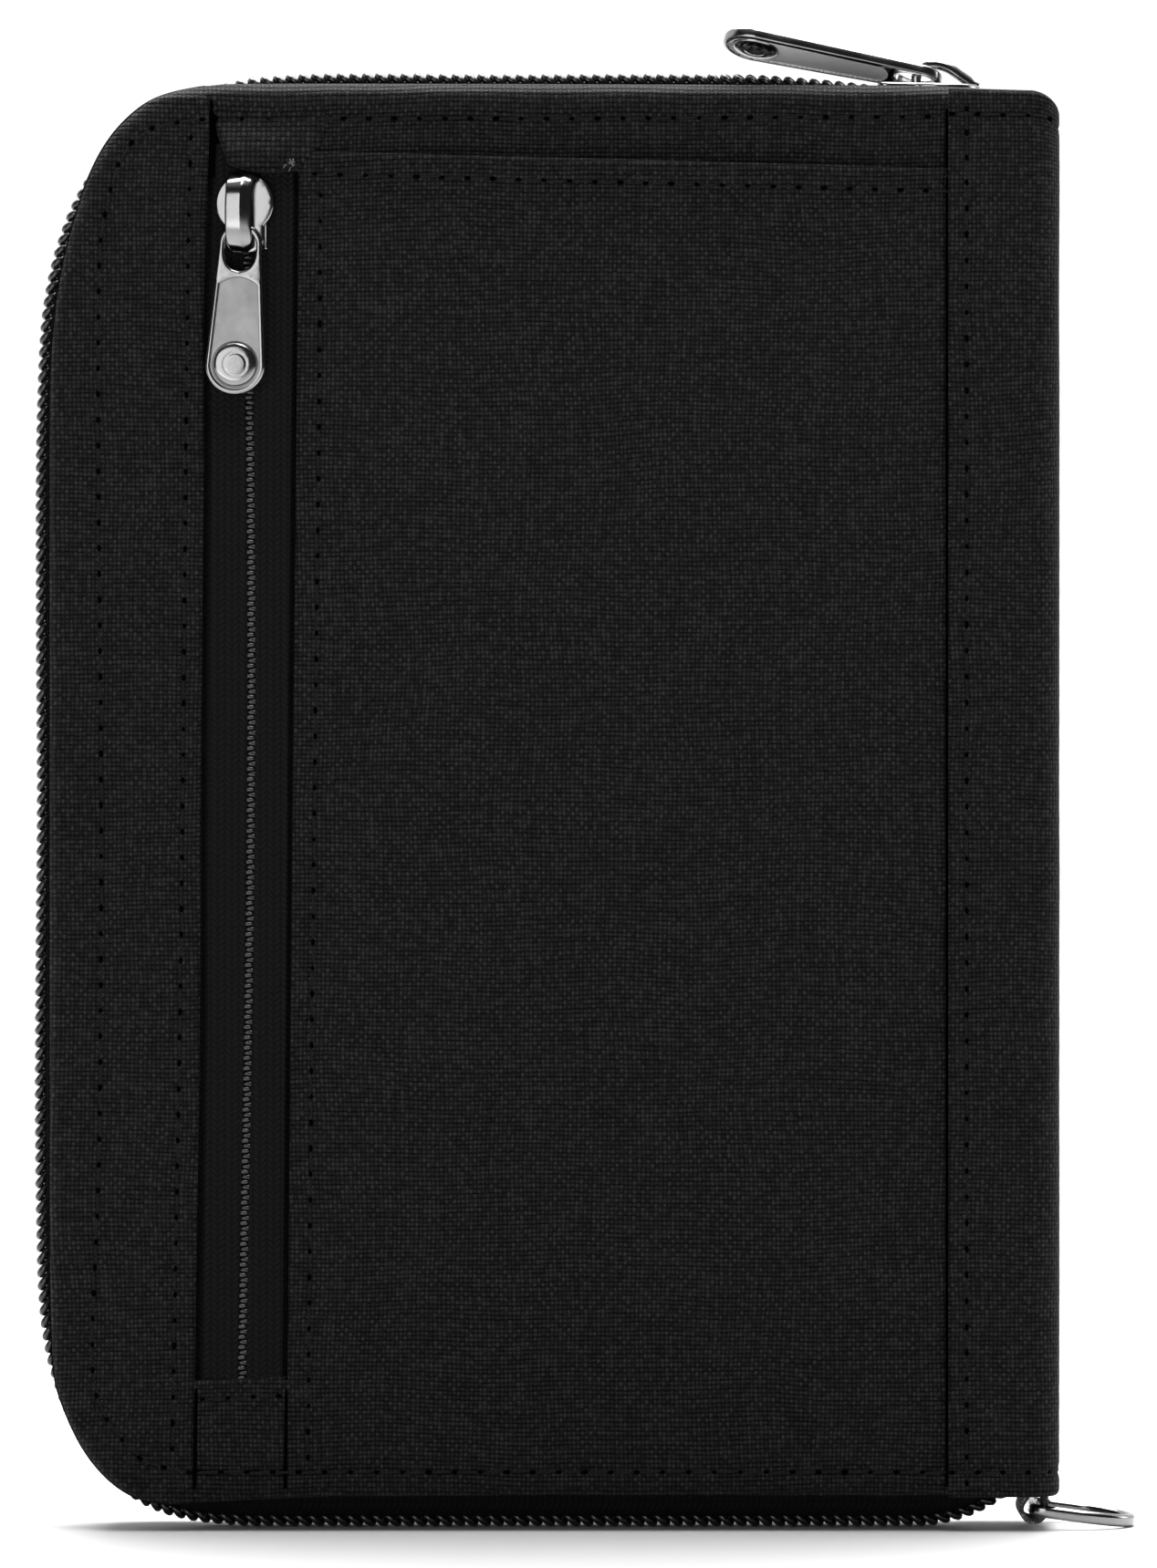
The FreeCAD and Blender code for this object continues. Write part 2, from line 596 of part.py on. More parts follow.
def puller(name, sizes):
    """A flat teardrop tag in XY, its bar on the origin, with recessed faces and a round boss."""
    body = new_body(name)
    bar, thick, rim = sizes["bar"], sizes["thick"], sizes["rim"]
    small, big = sizes["small"], sizes["big"]
    top = bar / 2 - small
    foot = bar / 2 - sizes["long"] + big
    face = thick / 2
    pad(body, teardrop(body, -face, small, big, top, foot), thick)
    eye = small - sizes["side"]
    eye_top, eye_foot = -bar / 2, -bar / 2 - sizes["hole"]
    ring = rectangle(-eye, eye, eye_foot, eye_top)
    pocket(body, polygon(body, "XY_Plane", -face, ring), thick)
    recess_top = eye_foot - small
    for offset, along in ((face - sizes["recess"], True), (-face, True)):
        sketch = teardrop(body, offset, small - rim, big - rim, recess_top, foot)
        pocket(body, sketch, sizes["recess"], along)
    tall = thick + sizes["boss_tall"] * 2
    boss = circle(body, "XY_Plane", -tall / 2, (0, foot), sizes["boss"])
    pad(body, boss, tall)
    return body


def puller_sizes(prefix):
    words = ("bar", "thick", "rim", "small", "big", "long", "side", "hole", "recess", "boss",
             "boss_tall")
    return {word: getattr(z, f"{prefix}_{word}") for word in words}


def main_puller():
    """Main puller: it lies along the zip, pointing away from the spine, tipped up and rolled."""
    body = puller("main_puller", puller_sizes("pull"))
    along = FreeCAD.Rotation(FreeCAD.Vector(0, 0, 1), -90)
    roll = FreeCAD.Rotation(FreeCAD.Vector(-1, 0, 0), z.pull_roll.value)
    pitch = FreeCAD.Rotation(FreeCAD.Vector(0, 1, 0), z.pull_pitch.value)
    offset = FreeCAD.Vector(z.pull_pivot_x.value, 0, z.pull_pivot_z.value)
    place = slider_frame().multVec(offset)
    body.Placement = FreeCAD.Placement(place, pitch * roll * along)


def pocket_slider():
    """Slider of the pocket zip: plates each side of the tape, joined by a post in the slit."""
    body = new_body("pocket_slider")
    half, wing, waist = z.small_half, z.small_wing, z.small_waist
    plan = [(-waist, -half), (waist, -half), (wing, half / 2), (waist, half), (-waist, half),
            (-wing, half / 2)]
    outer = polygon(body, "XZ_Plane", z.small_plate_inner, plan)
    pad(body, outer, z.small_plate_back - z.small_plate_inner)
    post = rectangle(-z.small_post_half, z.small_post_half, z.small_post_foot, z.small_post_top)
    sketch = polygon(body, "XZ_Plane", z.small_under_back, post)
    pad(body, sketch, z.small_plate_inner - z.small_under_back)
    under = polygon(body, "XZ_Plane", z.small_under_inner, plan)
    pad(body, under, z.small_under_back - z.small_under_inner)
    for hand in (-1, 1):
        flange = [(z.small_channel * hand, -half), (waist * hand, -half),
                  (waist * hand, half / 2), (z.small_channel * hand, half / 2)]
        sketch = polygon(body, "XZ_Plane", z.small_under_back, flange)
        pad(body, sketch, z.small_flange - z.small_under_back)
    arch = pocket_arch(term(0.0))
    pad(body, polygon(body, "YZ_Plane", -z.small_crown_half, arch), z.small_crown_half * 2)
    hole = pocket_arch(z.small_crown_wall)
    pocket(body, polygon(body, "YZ_Plane", -z.small_crown_half, hole), z.small_crown_half * 2)
    body.Placement.Base = FreeCAD.Vector(-z.zip_line.value, 0, z.small_place.value)


def pocket_arch(shrink):
    """Side view of the pocket slider's arch: Y outwards is negative."""
    foot, back = -z.small_plate_back, -(z.small_crown_back - shrink)
    low = -z.small_half + z.small_crown_foot + shrink
    high = z.small_half - z.small_crown_head - shrink
    knee = foot + (back - foot) * z.small_crown_knee
    middle = z.small_crown_peak
    return [(foot, low), (foot, high), (knee, high - z.small_crown_lean),
            (back, middle + z.small_crown_flat_up), (back, middle - z.small_crown_flat_down),
            (knee, low)]


def pocket_puller():
    """Pocket puller: it hangs from the arch, flat against the zip."""
    body = puller("pocket_puller", puller_sizes("tag"))
    upright = FreeCAD.Rotation(FreeCAD.Vector(1, 0, 0), 90)
    place = FreeCAD.Vector(-z.zip_line.value, -z.tag_pivot_y.value, z.tag_pivot_z.value)
    body.Placement = FreeCAD.Placement(place, upright)


# ---------------------------------------------------------------- build, check and write

def check_document():
    doc.recompute()
    for obj in doc.Objects:
        if "Invalid" in obj.State or "Error" in obj.State:
            raise RuntimeError(f"{obj.Name} ({obj.Label}) failed: {obj.State}")
    for node in NODES:
        shape = node.Shape
        if shape.isNull() or not shape.isValid() or not shape.Solids:
            raise RuntimeError(f"{node.Label}: shape is null, open or not valid")
        if shape.Volume < SMALLEST_VOLUME:
            raise RuntimeError(f"{node.Label}: shape is far too small")


def write_parts():
    os.makedirs("parts", exist_ok=True)
    for node in NODES:
        node.Shape.exportStep(os.path.join("parts", node.Label + ".step"))
        box = node.Shape.BoundBox
        print(f"{node.Label:26s} {node.Shape.Volume:9.1f} mm3  x {box.XMin:7.2f} {box.XMax:7.2f}"
              f"  y {box.YMin:6.2f} {box.YMax:6.2f}  z {box.ZMin:7.2f} {box.ZMax:7.2f}")


fill_sheet()
zip_around()
cover_layers()
cover_fabric()
spine_strips()
zip_pocket()
inside_pockets()
spine()
ring_loop()
d_ring()
main_slider()
main_puller()
pocket_slider()
pocket_puller()
check_document()
write_parts()
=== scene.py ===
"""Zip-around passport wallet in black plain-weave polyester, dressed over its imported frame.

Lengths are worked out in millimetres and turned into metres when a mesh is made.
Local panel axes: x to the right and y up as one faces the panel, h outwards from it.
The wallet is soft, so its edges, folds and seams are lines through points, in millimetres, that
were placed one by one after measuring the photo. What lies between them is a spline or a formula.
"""
import bpy
import math
import numpy as np
from mathutils import Matrix, Vector, geometry, kdtree, noise


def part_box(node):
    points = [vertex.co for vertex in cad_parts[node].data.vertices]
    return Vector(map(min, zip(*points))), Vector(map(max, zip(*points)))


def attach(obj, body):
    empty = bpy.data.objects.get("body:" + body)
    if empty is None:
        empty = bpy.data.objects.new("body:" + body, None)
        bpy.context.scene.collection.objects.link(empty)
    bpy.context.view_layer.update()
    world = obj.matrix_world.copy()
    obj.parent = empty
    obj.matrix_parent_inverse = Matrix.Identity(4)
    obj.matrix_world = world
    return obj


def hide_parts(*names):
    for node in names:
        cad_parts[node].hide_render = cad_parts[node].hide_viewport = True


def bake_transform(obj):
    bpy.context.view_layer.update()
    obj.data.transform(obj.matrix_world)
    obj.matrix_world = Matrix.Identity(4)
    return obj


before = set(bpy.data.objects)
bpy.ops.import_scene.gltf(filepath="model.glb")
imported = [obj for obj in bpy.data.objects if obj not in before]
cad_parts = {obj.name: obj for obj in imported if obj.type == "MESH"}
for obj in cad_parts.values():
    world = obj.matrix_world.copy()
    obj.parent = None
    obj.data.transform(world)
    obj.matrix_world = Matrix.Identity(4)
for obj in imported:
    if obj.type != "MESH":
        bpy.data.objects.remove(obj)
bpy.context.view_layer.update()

MM = 0.001


def node_box(name):
    """A node's lowest and highest corners, in millimetres."""
    low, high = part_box(name)
    return np.array(low) / MM, np.array(high) / MM


COVER_LOW = node_box("back_outer_fabric")[0]
SPINE_LOW, SPINE_HIGH = node_box("spine_fabric")
LAP_LOW = node_box("spine_fabric_back_strip")[0]

COVER_FOOT = COVER_LOW[2]
BASE_LEVEL, LAP_LEVEL = -COVER_LOW[1], -LAP_LOW[1]      # faces of the back, out from the middle
PANEL_LEVEL = -node_box("slip_pocket_panel")[0][1]
LAP_EDGE = LAP_LOW[0]                                   # folded edge of the spine fabric
COIL_END_X = node_box("back_zip_coil")[1][0]
CHAIN_END_X = node_box("back_zip_tape")[1][0]
TOP_SLOPE = math.radians(1.5)                           # of the main zip's top run
STITCH = 2.65                                           # length of one stitch
WEAVE = (0.44, 0.46)                                    # spacing of the outer cloth's threads
THREAD_RADIUS, HOLE_SHADE_RADIUS, GAP_SHADOW_RADIUS = 0.13, 0.19, 0.21
CLOTH = 0.3                                             # thickness of the outer cloth


# ---------------------------------------------------------------- outlines in the plane

def rounded(corners, step=0.6):
    """A closed outline from corners (x, y, radius), anticlockwise, evenly divided."""
    points, count = [], len(corners)
    for i in range(count):
        before, here, after = (np.array(corners[(i + k) % count][:2], float) for k in (-1, 0, 1))
        radius = corners[i][2]
        a, b = before - here, after - here
        a, b = a / np.linalg.norm(a), b / np.linalg.norm(b)
        if radius <= 0:
            points.append(here)
            continue
        half = math.acos(np.clip(a @ b, -1, 1)) / 2
        reach = radius / math.tan(half)
        centre = here + (a + b) / np.linalg.norm(a + b) * radius / math.sin(half)
        start, end = here + a * reach - centre, here + b * reach - centre
        a0, a1 = math.atan2(start[1], start[0]), math.atan2(end[1], end[0])
        turn = (a1 - a0 + math.pi) % (2 * math.pi) - math.pi
        parts = max(3, int(abs(turn) * radius / step) + 1)
        for k in range(parts + 1):
            angle = a0 + turn * k / parts
            points.append(centre + radius * np.array([math.cos(angle), math.sin(angle)]))
    return divide(np.array(points), step)


def divide(points, step):
    """Split the long sides of a closed outline."""
    out = []
    for i in range(len(points)):
        a, b = points[i], points[(i + 1) % len(points)]
        length = np.linalg.norm(b - a)
        if length < 1e-6:
            continue
        parts = max(1, int(round(length / step)))
        out += [a + (b - a) * k / parts for k in range(parts)]
    return np.array(out)


def run_of(line):
    """Length along a line up to each of its points."""
    return np.concatenate([[0], np.cumsum(np.linalg.norm(np.diff(line, axis=0), axis=1))])


def walk(points, spacing, whole=round):
    """Points evenly spaced along an open line."""
    points = np.array(points, float)
    run = run_of(points)
    count = max(2, int(whole(run[-1] / spacing)) + 1)
    at = np.linspace(0, run[-1], count)
    return np.stack([np.interp(at, run, points[:, k]) for k in range(points.shape[1])], axis=1)


def unit(vectors):
    """The same vectors at length one."""
    return vectors / np.linalg.norm(vectors, axis=1)[:, None]


def directions(line):
    """The direction of an open line at each of its points."""
    return unit(np.gradient(line, axis=0))


def tree_of(points):
    """A search tree over points of the plane."""
    tree = kdtree.KDTree(len(points))
    for i, point in enumerate(points):
        tree.insert((point[0], point[1], 0), i)
    tree.balance()
    return tree


def spline(points, step=0.5):
    """A smooth open line through the points, evenly divided."""
    points = np.array(points, float)
    ends = np.concatenate([[2 * points[0] - points[1]], points, [2 * points[-1] - points[-2]]])
    fine = []
    for i in range(len(points) - 1):
        p0, p1, p2, p3 = ends[i:i + 4]
        t = np.linspace(0, 1, 24, endpoint=False)[:, None]
        fine.append(0.5 * (2 * p1 + (p2 - p0) * t + (2 * p0 - 5 * p1 + 4 * p2 - p3) * t ** 2
                           + (3 * p1 - p0 - 3 * p2 + p3) * t ** 3))
    return walk(np.concatenate(fine + [points[-1:]]), step)


def line_distance(points, line, closed=False):
    """Distance from each point to a finely divided line."""
    tree = tree_of(line)
    near = np.array([tree.find((x, y, 0))[1] for x, y in points], int)
    best = np.full(len(points), 1e9)
    for step in (-1, 0):
        low = near + step
        low = low % len(line) if closed else np.clip(low, 0, len(line) - 2)
        a, b = line[low], line[(low + 1) % len(line)]
        span = b - a
        length = np.maximum((span ** 2).sum(axis=1), 1e-12)
        t = np.clip(((points - a) * span).sum(axis=1) / length, 0, 1)
        gap = points - a - t[:, None] * span
        best = np.minimum(best, np.sqrt((gap ** 2).sum(axis=1)))
    return best


def inside(points, loop):
    """Whether each point lies inside a closed outline."""
    a, b = loop, np.roll(loop, -1, axis=0)
    result = np.zeros(len(points), bool)
    for (ax, ay), (bx, by) in zip(a, b):
        if ay == by:
            continue
        crosses = (ay > points[:, 1]) != (by > points[:, 1])
        at = ax + (points[:, 1] - ay) * (bx - ax) / (by - ay)
        result ^= crosses & (points[:, 0] < at)
    return result


def inward(loop, distance):
    """The outline moved inwards; anticlockwise loops shrink."""
    edge = np.roll(loop, -1, axis=0) - loop
    edge /= np.maximum(np.linalg.norm(edge, axis=1)[:, None], 1e-9)
    normal = np.stack([-edge[:, 1], edge[:, 0]], axis=1)
    mean = normal + np.roll(normal, 1, axis=0)
    mean /= np.maximum((mean ** 2).sum(axis=1)[:, None], 0.3) / 2
    return loop + mean * distance


# ---------------------------------------------------------------- meshes

def to_mesh(name, verts, faces, uv=None, sharp=55):
    """A smooth-shaded object from points in millimetres and faces of three or four corners."""
    mesh = bpy.data.meshes.new(name)
    mesh.from_pydata((np.asarray(verts, float) * MM).tolist(), [], faces)
    mesh.validate()
    if uv is not None:
        layer = mesh.uv_layers.new(name="cloth")
        corner = np.zeros(len(mesh.loops), np.int32)
        mesh.loops.foreach_get("vertex_index", corner)
        layer.data.foreach_set("uv", np.asarray(uv, np.float32)[corner].ravel())
    mesh.shade_smooth()
    if sharp:
        mesh.set_sharp_from_angle(angle=math.radians(sharp))
    piece = bpy.data.objects.new(name, mesh)
    bpy.context.scene.collection.objects.link(piece)
    return piece


def facing_back(x, y, h):
    """A panel of the back cover: it faces -Y."""
    return np.stack([x, -h, y], axis=-1)


def facing_front(x, y, h):
    """A panel of the front cover: it faces +Y, so its x runs the other way."""
    return np.stack([-x, h, y], axis=-1)


def inner_back(x, y, h):
    """The inside of the back cover, which faces +Y; h is measured from the middle outwards."""
    return np.stack([-x, -h, y], axis=-1)


def inner_front(x, y, h):
    """The inside of the front cover, which faces -Y."""
    return np.stack([x, h, y], axis=-1)


def relief(name, outer, top, under, holes=(), marks=None, grid=1.6, place=facing_back,
           rings=(0.06, 0.16, 0.3, 0.5, 0.8, 1.2), sharp=55, weave=1.0):
    """A closed sheet over an outline: its top and underside are heights over the plane.

    top and under are functions of x, y and the distance to the nearest edge. marks are points
    that the mesh keeps; rings are the distances of the finer rows along the edges.
    """
    loops = [outer] + [h[::-1] for h in holes]
    everywhere = [outer] + list(holes)
    extra = []                                  # points added inside the outline
    for loop in loops:
        for distance in rings:
            ring = inward(loop, distance)
            gap = np.min([line_distance(ring, other, True) for other in everywhere], axis=0)
            extra.append(ring[np.abs(gap - distance) < distance * 0.25])
    if marks is not None and len(marks):
        extra.append(marks)
    low, high = outer.min(axis=0), outer.max(axis=0)
    xs = np.arange(low[0] + grid / 2, high[0], grid)
    ys = np.arange(low[1] + grid / 2, high[1], grid)
    field = np.array([(x + (grid / 2 if j % 2 else 0), y) for j, y in enumerate(ys) for x in xs])
    if len(field):
        gap = np.min([line_distance(field, other, True) for other in everywhere], axis=0)
        field = field[gap > rings[-1] + grid * 0.4]
    if len(field) and marks is not None and len(marks):
        tree = tree_of(marks)
        far = [tree.find((p[0], p[1], 0))[2] > grid * 0.55 for p in field]
        field = field[np.array(far)]
    if len(field):
        extra.append(field)
    free = np.concatenate(extra) if extra else np.zeros((0, 2))
    keep = inside(free, outer)
    for hole in holes:
        keep &= ~inside(free, hole)
    free = free[keep]
    fixed = np.concatenate(everywhere)
    edges, start = [], 0
    for loop in everywhere:
        count = len(loop)
        edges += [(start + i, start + (i + 1) % count) for i in range(count)]
        start += count
    points = [Vector(p) for p in np.concatenate([fixed, free])]
    result = geometry.delaunay_2d_cdt(points, edges, [], 0, 1e-5)
    flat = np.array([tuple(v) for v in result[0]])
    faces = [tuple(f) for f in result[2]]
    middle = np.array([flat[list(f)].mean(axis=0) for f in faces])
    good = inside(middle, outer)
    for hole in holes:
        good &= ~inside(middle, hole)
    faces = [f for f, ok in zip(faces, good) if ok]
    used = sorted({i for f in faces for i in f})
    index = {old: new for new, old in enumerate(used)}
    faces = [tuple(index[i] for i in f) for f in faces]
    flat = flat[used]
    gap = np.min([line_distance(flat, other, True) for other in everywhere], axis=0)
    x, y = flat[:, 0], flat[:, 1]
    upper = place(x, y, top(x, y, gap))
    lower = place(x, y, under(x, y, gap))
    count = len(flat)
    sides = dict.fromkeys((f[k], f[(k + 1) % 3]) for f in faces for k in range(3))
    rim = [(a, b) for a, b in sides if (b, a) not in sides]
    faces_all = faces + [tuple(i + count for i in f[::-1]) for f in faces]
    faces_all += [(b, a, a + count, b + count) for a, b in rim]
    uv = np.concatenate([flat, flat]) * weave
    return to_mesh(name, np.concatenate([upper, lower]), faces_all, uv, sharp)


def level(value):
    """A height that is the same all over a panel."""
    return lambda x, y, d: np.full(len(x), float(value))


def roll(d, radius):
    """How far a rolled edge has dropped at distance d from the outline."""
    t = np.clip(d / radius, 0, 1)
    return radius * (1 - np.sqrt(np.maximum(1 - (1 - t) ** 2, 0)))


def ripple(x, y, size, seed=0.0):
    """Slow, smooth unevenness between -1 and 1."""
    return np.array([noise.noise((a / size + seed, b / size, seed * 1.7)) for a, b in zip(x, y)])


def tubes(name, paths, radius, sides=8):
    """Round threads along open paths, closed at both ends."""
    verts, faces, uvs, base = [], [], [], 0
    angles = np.arange(sides) * 2 * math.pi / sides
    for path in paths:
        path = np.asarray(path, float)
        tangent = np.gradient(path, axis=0)
        tangent /= np.maximum(np.linalg.norm(tangent, axis=1)[:, None], 1e-9)
        normal = np.zeros_like(path)
        first = np.cross(tangent[0], (0.3, 0.2, 0.9))
        normal[0] = first / np.linalg.norm(first)
        for i in range(1, len(path)):
            n = normal[i - 1] - tangent[i] * (normal[i - 1] @ tangent[i])
            normal[i] = n / np.linalg.norm(n)
        side = np.cross(tangent, normal)
        wide = radius if np.ndim(radius) == 0 else np.asarray(radius)[:, None, None]
        ring = (normal[:, None] * np.cos(angles)[None, :, None]
                + side[:, None] * np.sin(angles)[None, :, None]) * wide
        points = path[:, None] + ring
        count = len(path)
        verts.append(points.reshape(-1, 3))
        run = run_of(path)
        uvs.append(np.stack(np.broadcast_arrays(run[:, None], np.arange(sides)[None] / sides),
                            axis=-1).reshape(-1, 2))
        for i in range(count - 1):
            for k in range(sides):
                a, b = base + i * sides + k, base + i * sides + (k + 1) % sides
                faces.append((a, b, b + sides, a + sides))
        faces.append(tuple(base + k for k in range(sides))[::-1])
        faces.append(tuple(base + (count - 1) * sides + k for k in range(sides)))
        base += count * sides
    return to_mesh(name, np.concatenate(verts), faces, np.concatenate(uvs), sharp=70)


def sweep(name, path, section, closed=False, up=(0, 1, 0), scale=None):
    """A closed section carried along a path; section points are (side, up) in millimetres."""
    path = np.asarray(path, float)
    if closed:
        tangent = np.roll(path, -1, axis=0) - np.roll(path, 1, axis=0)
    else:
        tangent = np.gradient(path, axis=0)
    tangent /= np.linalg.norm(tangent, axis=1)[:, None]
    up = np.broadcast_to(np.asarray(up, float), path.shape)
    side = np.cross(tangent, up)
    side /= np.linalg.norm(side, axis=1)[:, None]
    rise = np.cross(side, tangent)
    section = np.asarray(section, float)
    grow = np.ones((len(path), 2)) if scale is None else np.asarray(scale, float)
    points = (path[:, None] + side[:, None] * (section[:, 0] * grow[:, :1])[..., None]
              + rise[:, None] * (section[:, 1] * grow[:, 1:])[..., None])
    count, sides = len(path), len(section)
    faces = []
    last = count if closed else count - 1
    for i in range(last):
        j = (i + 1) % count
        for k in range(sides):
            m = (k + 1) % sides
            faces.append((i * sides + k, i * sides + m, j * sides + m, j * sides + k))
    if not closed:
        faces.append(tuple(range(sides))[::-1])
        faces.append(tuple((count - 1) * sides + k for k in range(sides)))
    run, around = run_of(path), run_of(section)
    uv = np.stack(np.broadcast_arrays(run[:, None], around[None]), axis=-1).reshape(-1, 2)
    return to_mesh(name, points.reshape(-1, 3), faces, uv)


def box_section(wide, tall, radius, parts=4):
    """A rectangle with rounded corners, anticlockwise, centred on the origin."""
    points = []
    for cx, cy, start in ((1, 1, 0), (-1, 1, 90), (-1, -1, 180), (1, -1, 270)):
        for k in range(parts + 1):
            angle = math.radians(start + 90 * k / parts)
            points.append((cx * (wide / 2 - radius) + radius * math.cos(angle),
                           cy * (tall / 2 - radius) + radius * math.sin(angle)))
    return np.array(points)


def join(name, pieces):
    """Several meshes made into one object."""
    bpy.ops.object.select_all(action="DESELECT")
    for piece in pieces:
        piece.select_set(True)
    bpy.context.view_layer.objects.active = pieces[0]
    bpy.ops.object.join()
    pieces[0].name = name
    pieces[0].data.name = name
    return pieces[0]


def settle(piece, matrix):
    """Move a mesh from its own frame into the row frame, given in metres."""
    piece.data.transform(matrix)
    return piece


def wear(piece, material, body, replaces=()):
    """Give a piece its material and its body, and hide the nodes it stands for."""
    piece.data.materials.clear()
    piece.data.materials.append(material)
    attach(piece, body)
    if replaces:
        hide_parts(*replaces)
    return piece


# ---------------------------------------------------------------- materials

class Shader:
    """A node tree in short form: each call adds a node and returns its output."""

    def __init__(self, name):
        self.material = bpy.data.materials.new(name)
        self.material.use_nodes = True
        self.nodes = self.material.node_tree.nodes
        self.links = self.material.node_tree.links
        self.surface = self.nodes["Principled BSDF"]

    def put(self, socket, value):
        """Link a socket to another node's output, or set its value."""
        if isinstance(value, bpy.types.NodeSocket):
            self.links.new(value, socket)
        else:
            socket.default_value = value

    def math(self, operation, a, b=0.0, c=0.0):
        """One arithmetic step."""
        node = self.nodes.new("ShaderNodeMath")
        node.operation = operation
        for socket, value in zip(node.inputs, (a, b, c)):
            self.put(socket, value)
        return node.outputs[0]

    def cloth(self):
        """The cloth's own coordinates, in millimetres, as two outputs."""
        node = self.nodes.new("ShaderNodeUVMap")
        node.uv_map = "cloth"
        split = self.nodes.new("ShaderNodeSeparateXYZ")
        self.links.new(node.outputs[0], split.inputs[0])
        return split.outputs[0], split.outputs[1]

    def place(self):
        """Coordinates fixed to the object, in metres."""
        return self.nodes.new("ShaderNodeTexCoord").outputs["Object"]

    def pair(self, x, y, third=0.0):
        """A vector from two outputs; a third number gives another pattern."""
        node = self.nodes.new("ShaderNodeCombineXYZ")
        for socket, value in zip(node.inputs, (x, y, third)):
            self.put(socket, value)
        return node.outputs[0]

    def noise(self, vector, scale, detail=2.0, rough=0.5):
        """Soft noise between 0 and 1."""
        node = self.nodes.new("ShaderNodeTexNoise")
        self.links.new(vector, node.inputs["Vector"])
        node.inputs["Scale"].default_value = scale
        node.inputs["Detail"].default_value = detail
        node.inputs["Roughness"].default_value = rough
        return node.outputs["Fac"]

    def cell(self, u, v, seed=0.0):
        """A random value for each whole cell of a pattern."""
        node = self.nodes.new("ShaderNodeTexWhiteNoise")
        node.noise_dimensions = "3D"
        self.links.new(self.pair(self.math("FLOOR", u), self.math("FLOOR", v), seed),
                       node.inputs["Vector"])
        return node.outputs["Value"]

    def ramp(self, value, stops):
        """A colour for each range of a value."""
        node = self.nodes.new("ShaderNodeValToRGB")
        self.links.new(value, node.inputs[0])
        ramp = node.color_ramp
        while len(ramp.elements) < len(stops):
            ramp.elements.new(0.5)
        for element, (place, colour) in zip(ramp.elements, stops):
            element.position = place
            element.color = (*colour, 1.0)
        return node.outputs[0]

    def mix(self, factor, a, b):
        """A colour between two colours."""
        node = self.nodes.new("ShaderNodeMix")
        node.data_type = "RGBA"
        self.put(node.inputs[0], factor)
        for socket, value in ((node.inputs[6], a), (node.inputs[7], b)):
            self.put(socket, value if isinstance(value, bpy.types.NodeSocket) else (*value, 1.0))
        return node.outputs[2]

    def bump(self, height, distance):
        """Fine relief from a height between 0 and 1; the distance is in metres."""
        node = self.nodes.new("ShaderNodeBump")
        self.links.new(height, node.inputs["Height"])
        node.inputs["Distance"].default_value = distance
        node.inputs["Strength"].default_value = 1.0
        return node.outputs[0]

    def ridges(self, value, pitch, wave="COSINE"):
        """A wave across the cloth with one hump for each thread of the pitch."""
        turns = self.math("DIVIDE", value, pitch) if pitch else value
        return self.math(wave, self.math("MULTIPLY", turns, math.pi))

    def crossing(self, u, v):
        """How far the warp lies over the weft, from 0 to 1, given the waves of both."""
        return self.math("MULTIPLY_ADD", self.math("MULTIPLY", u, v), 0.5, 0.5)

    def finish(self, **inputs):
        """Set or link the surface's inputs and return the material."""
        for name, value in inputs.items():
            socket = self.surface.inputs[name.replace("_", " ")]
            if isinstance(value, tuple) and len(value) == 3 and socket.type == "RGBA":
                value = (*value, 1.0)
            self.put(socket, value)
        return self.material


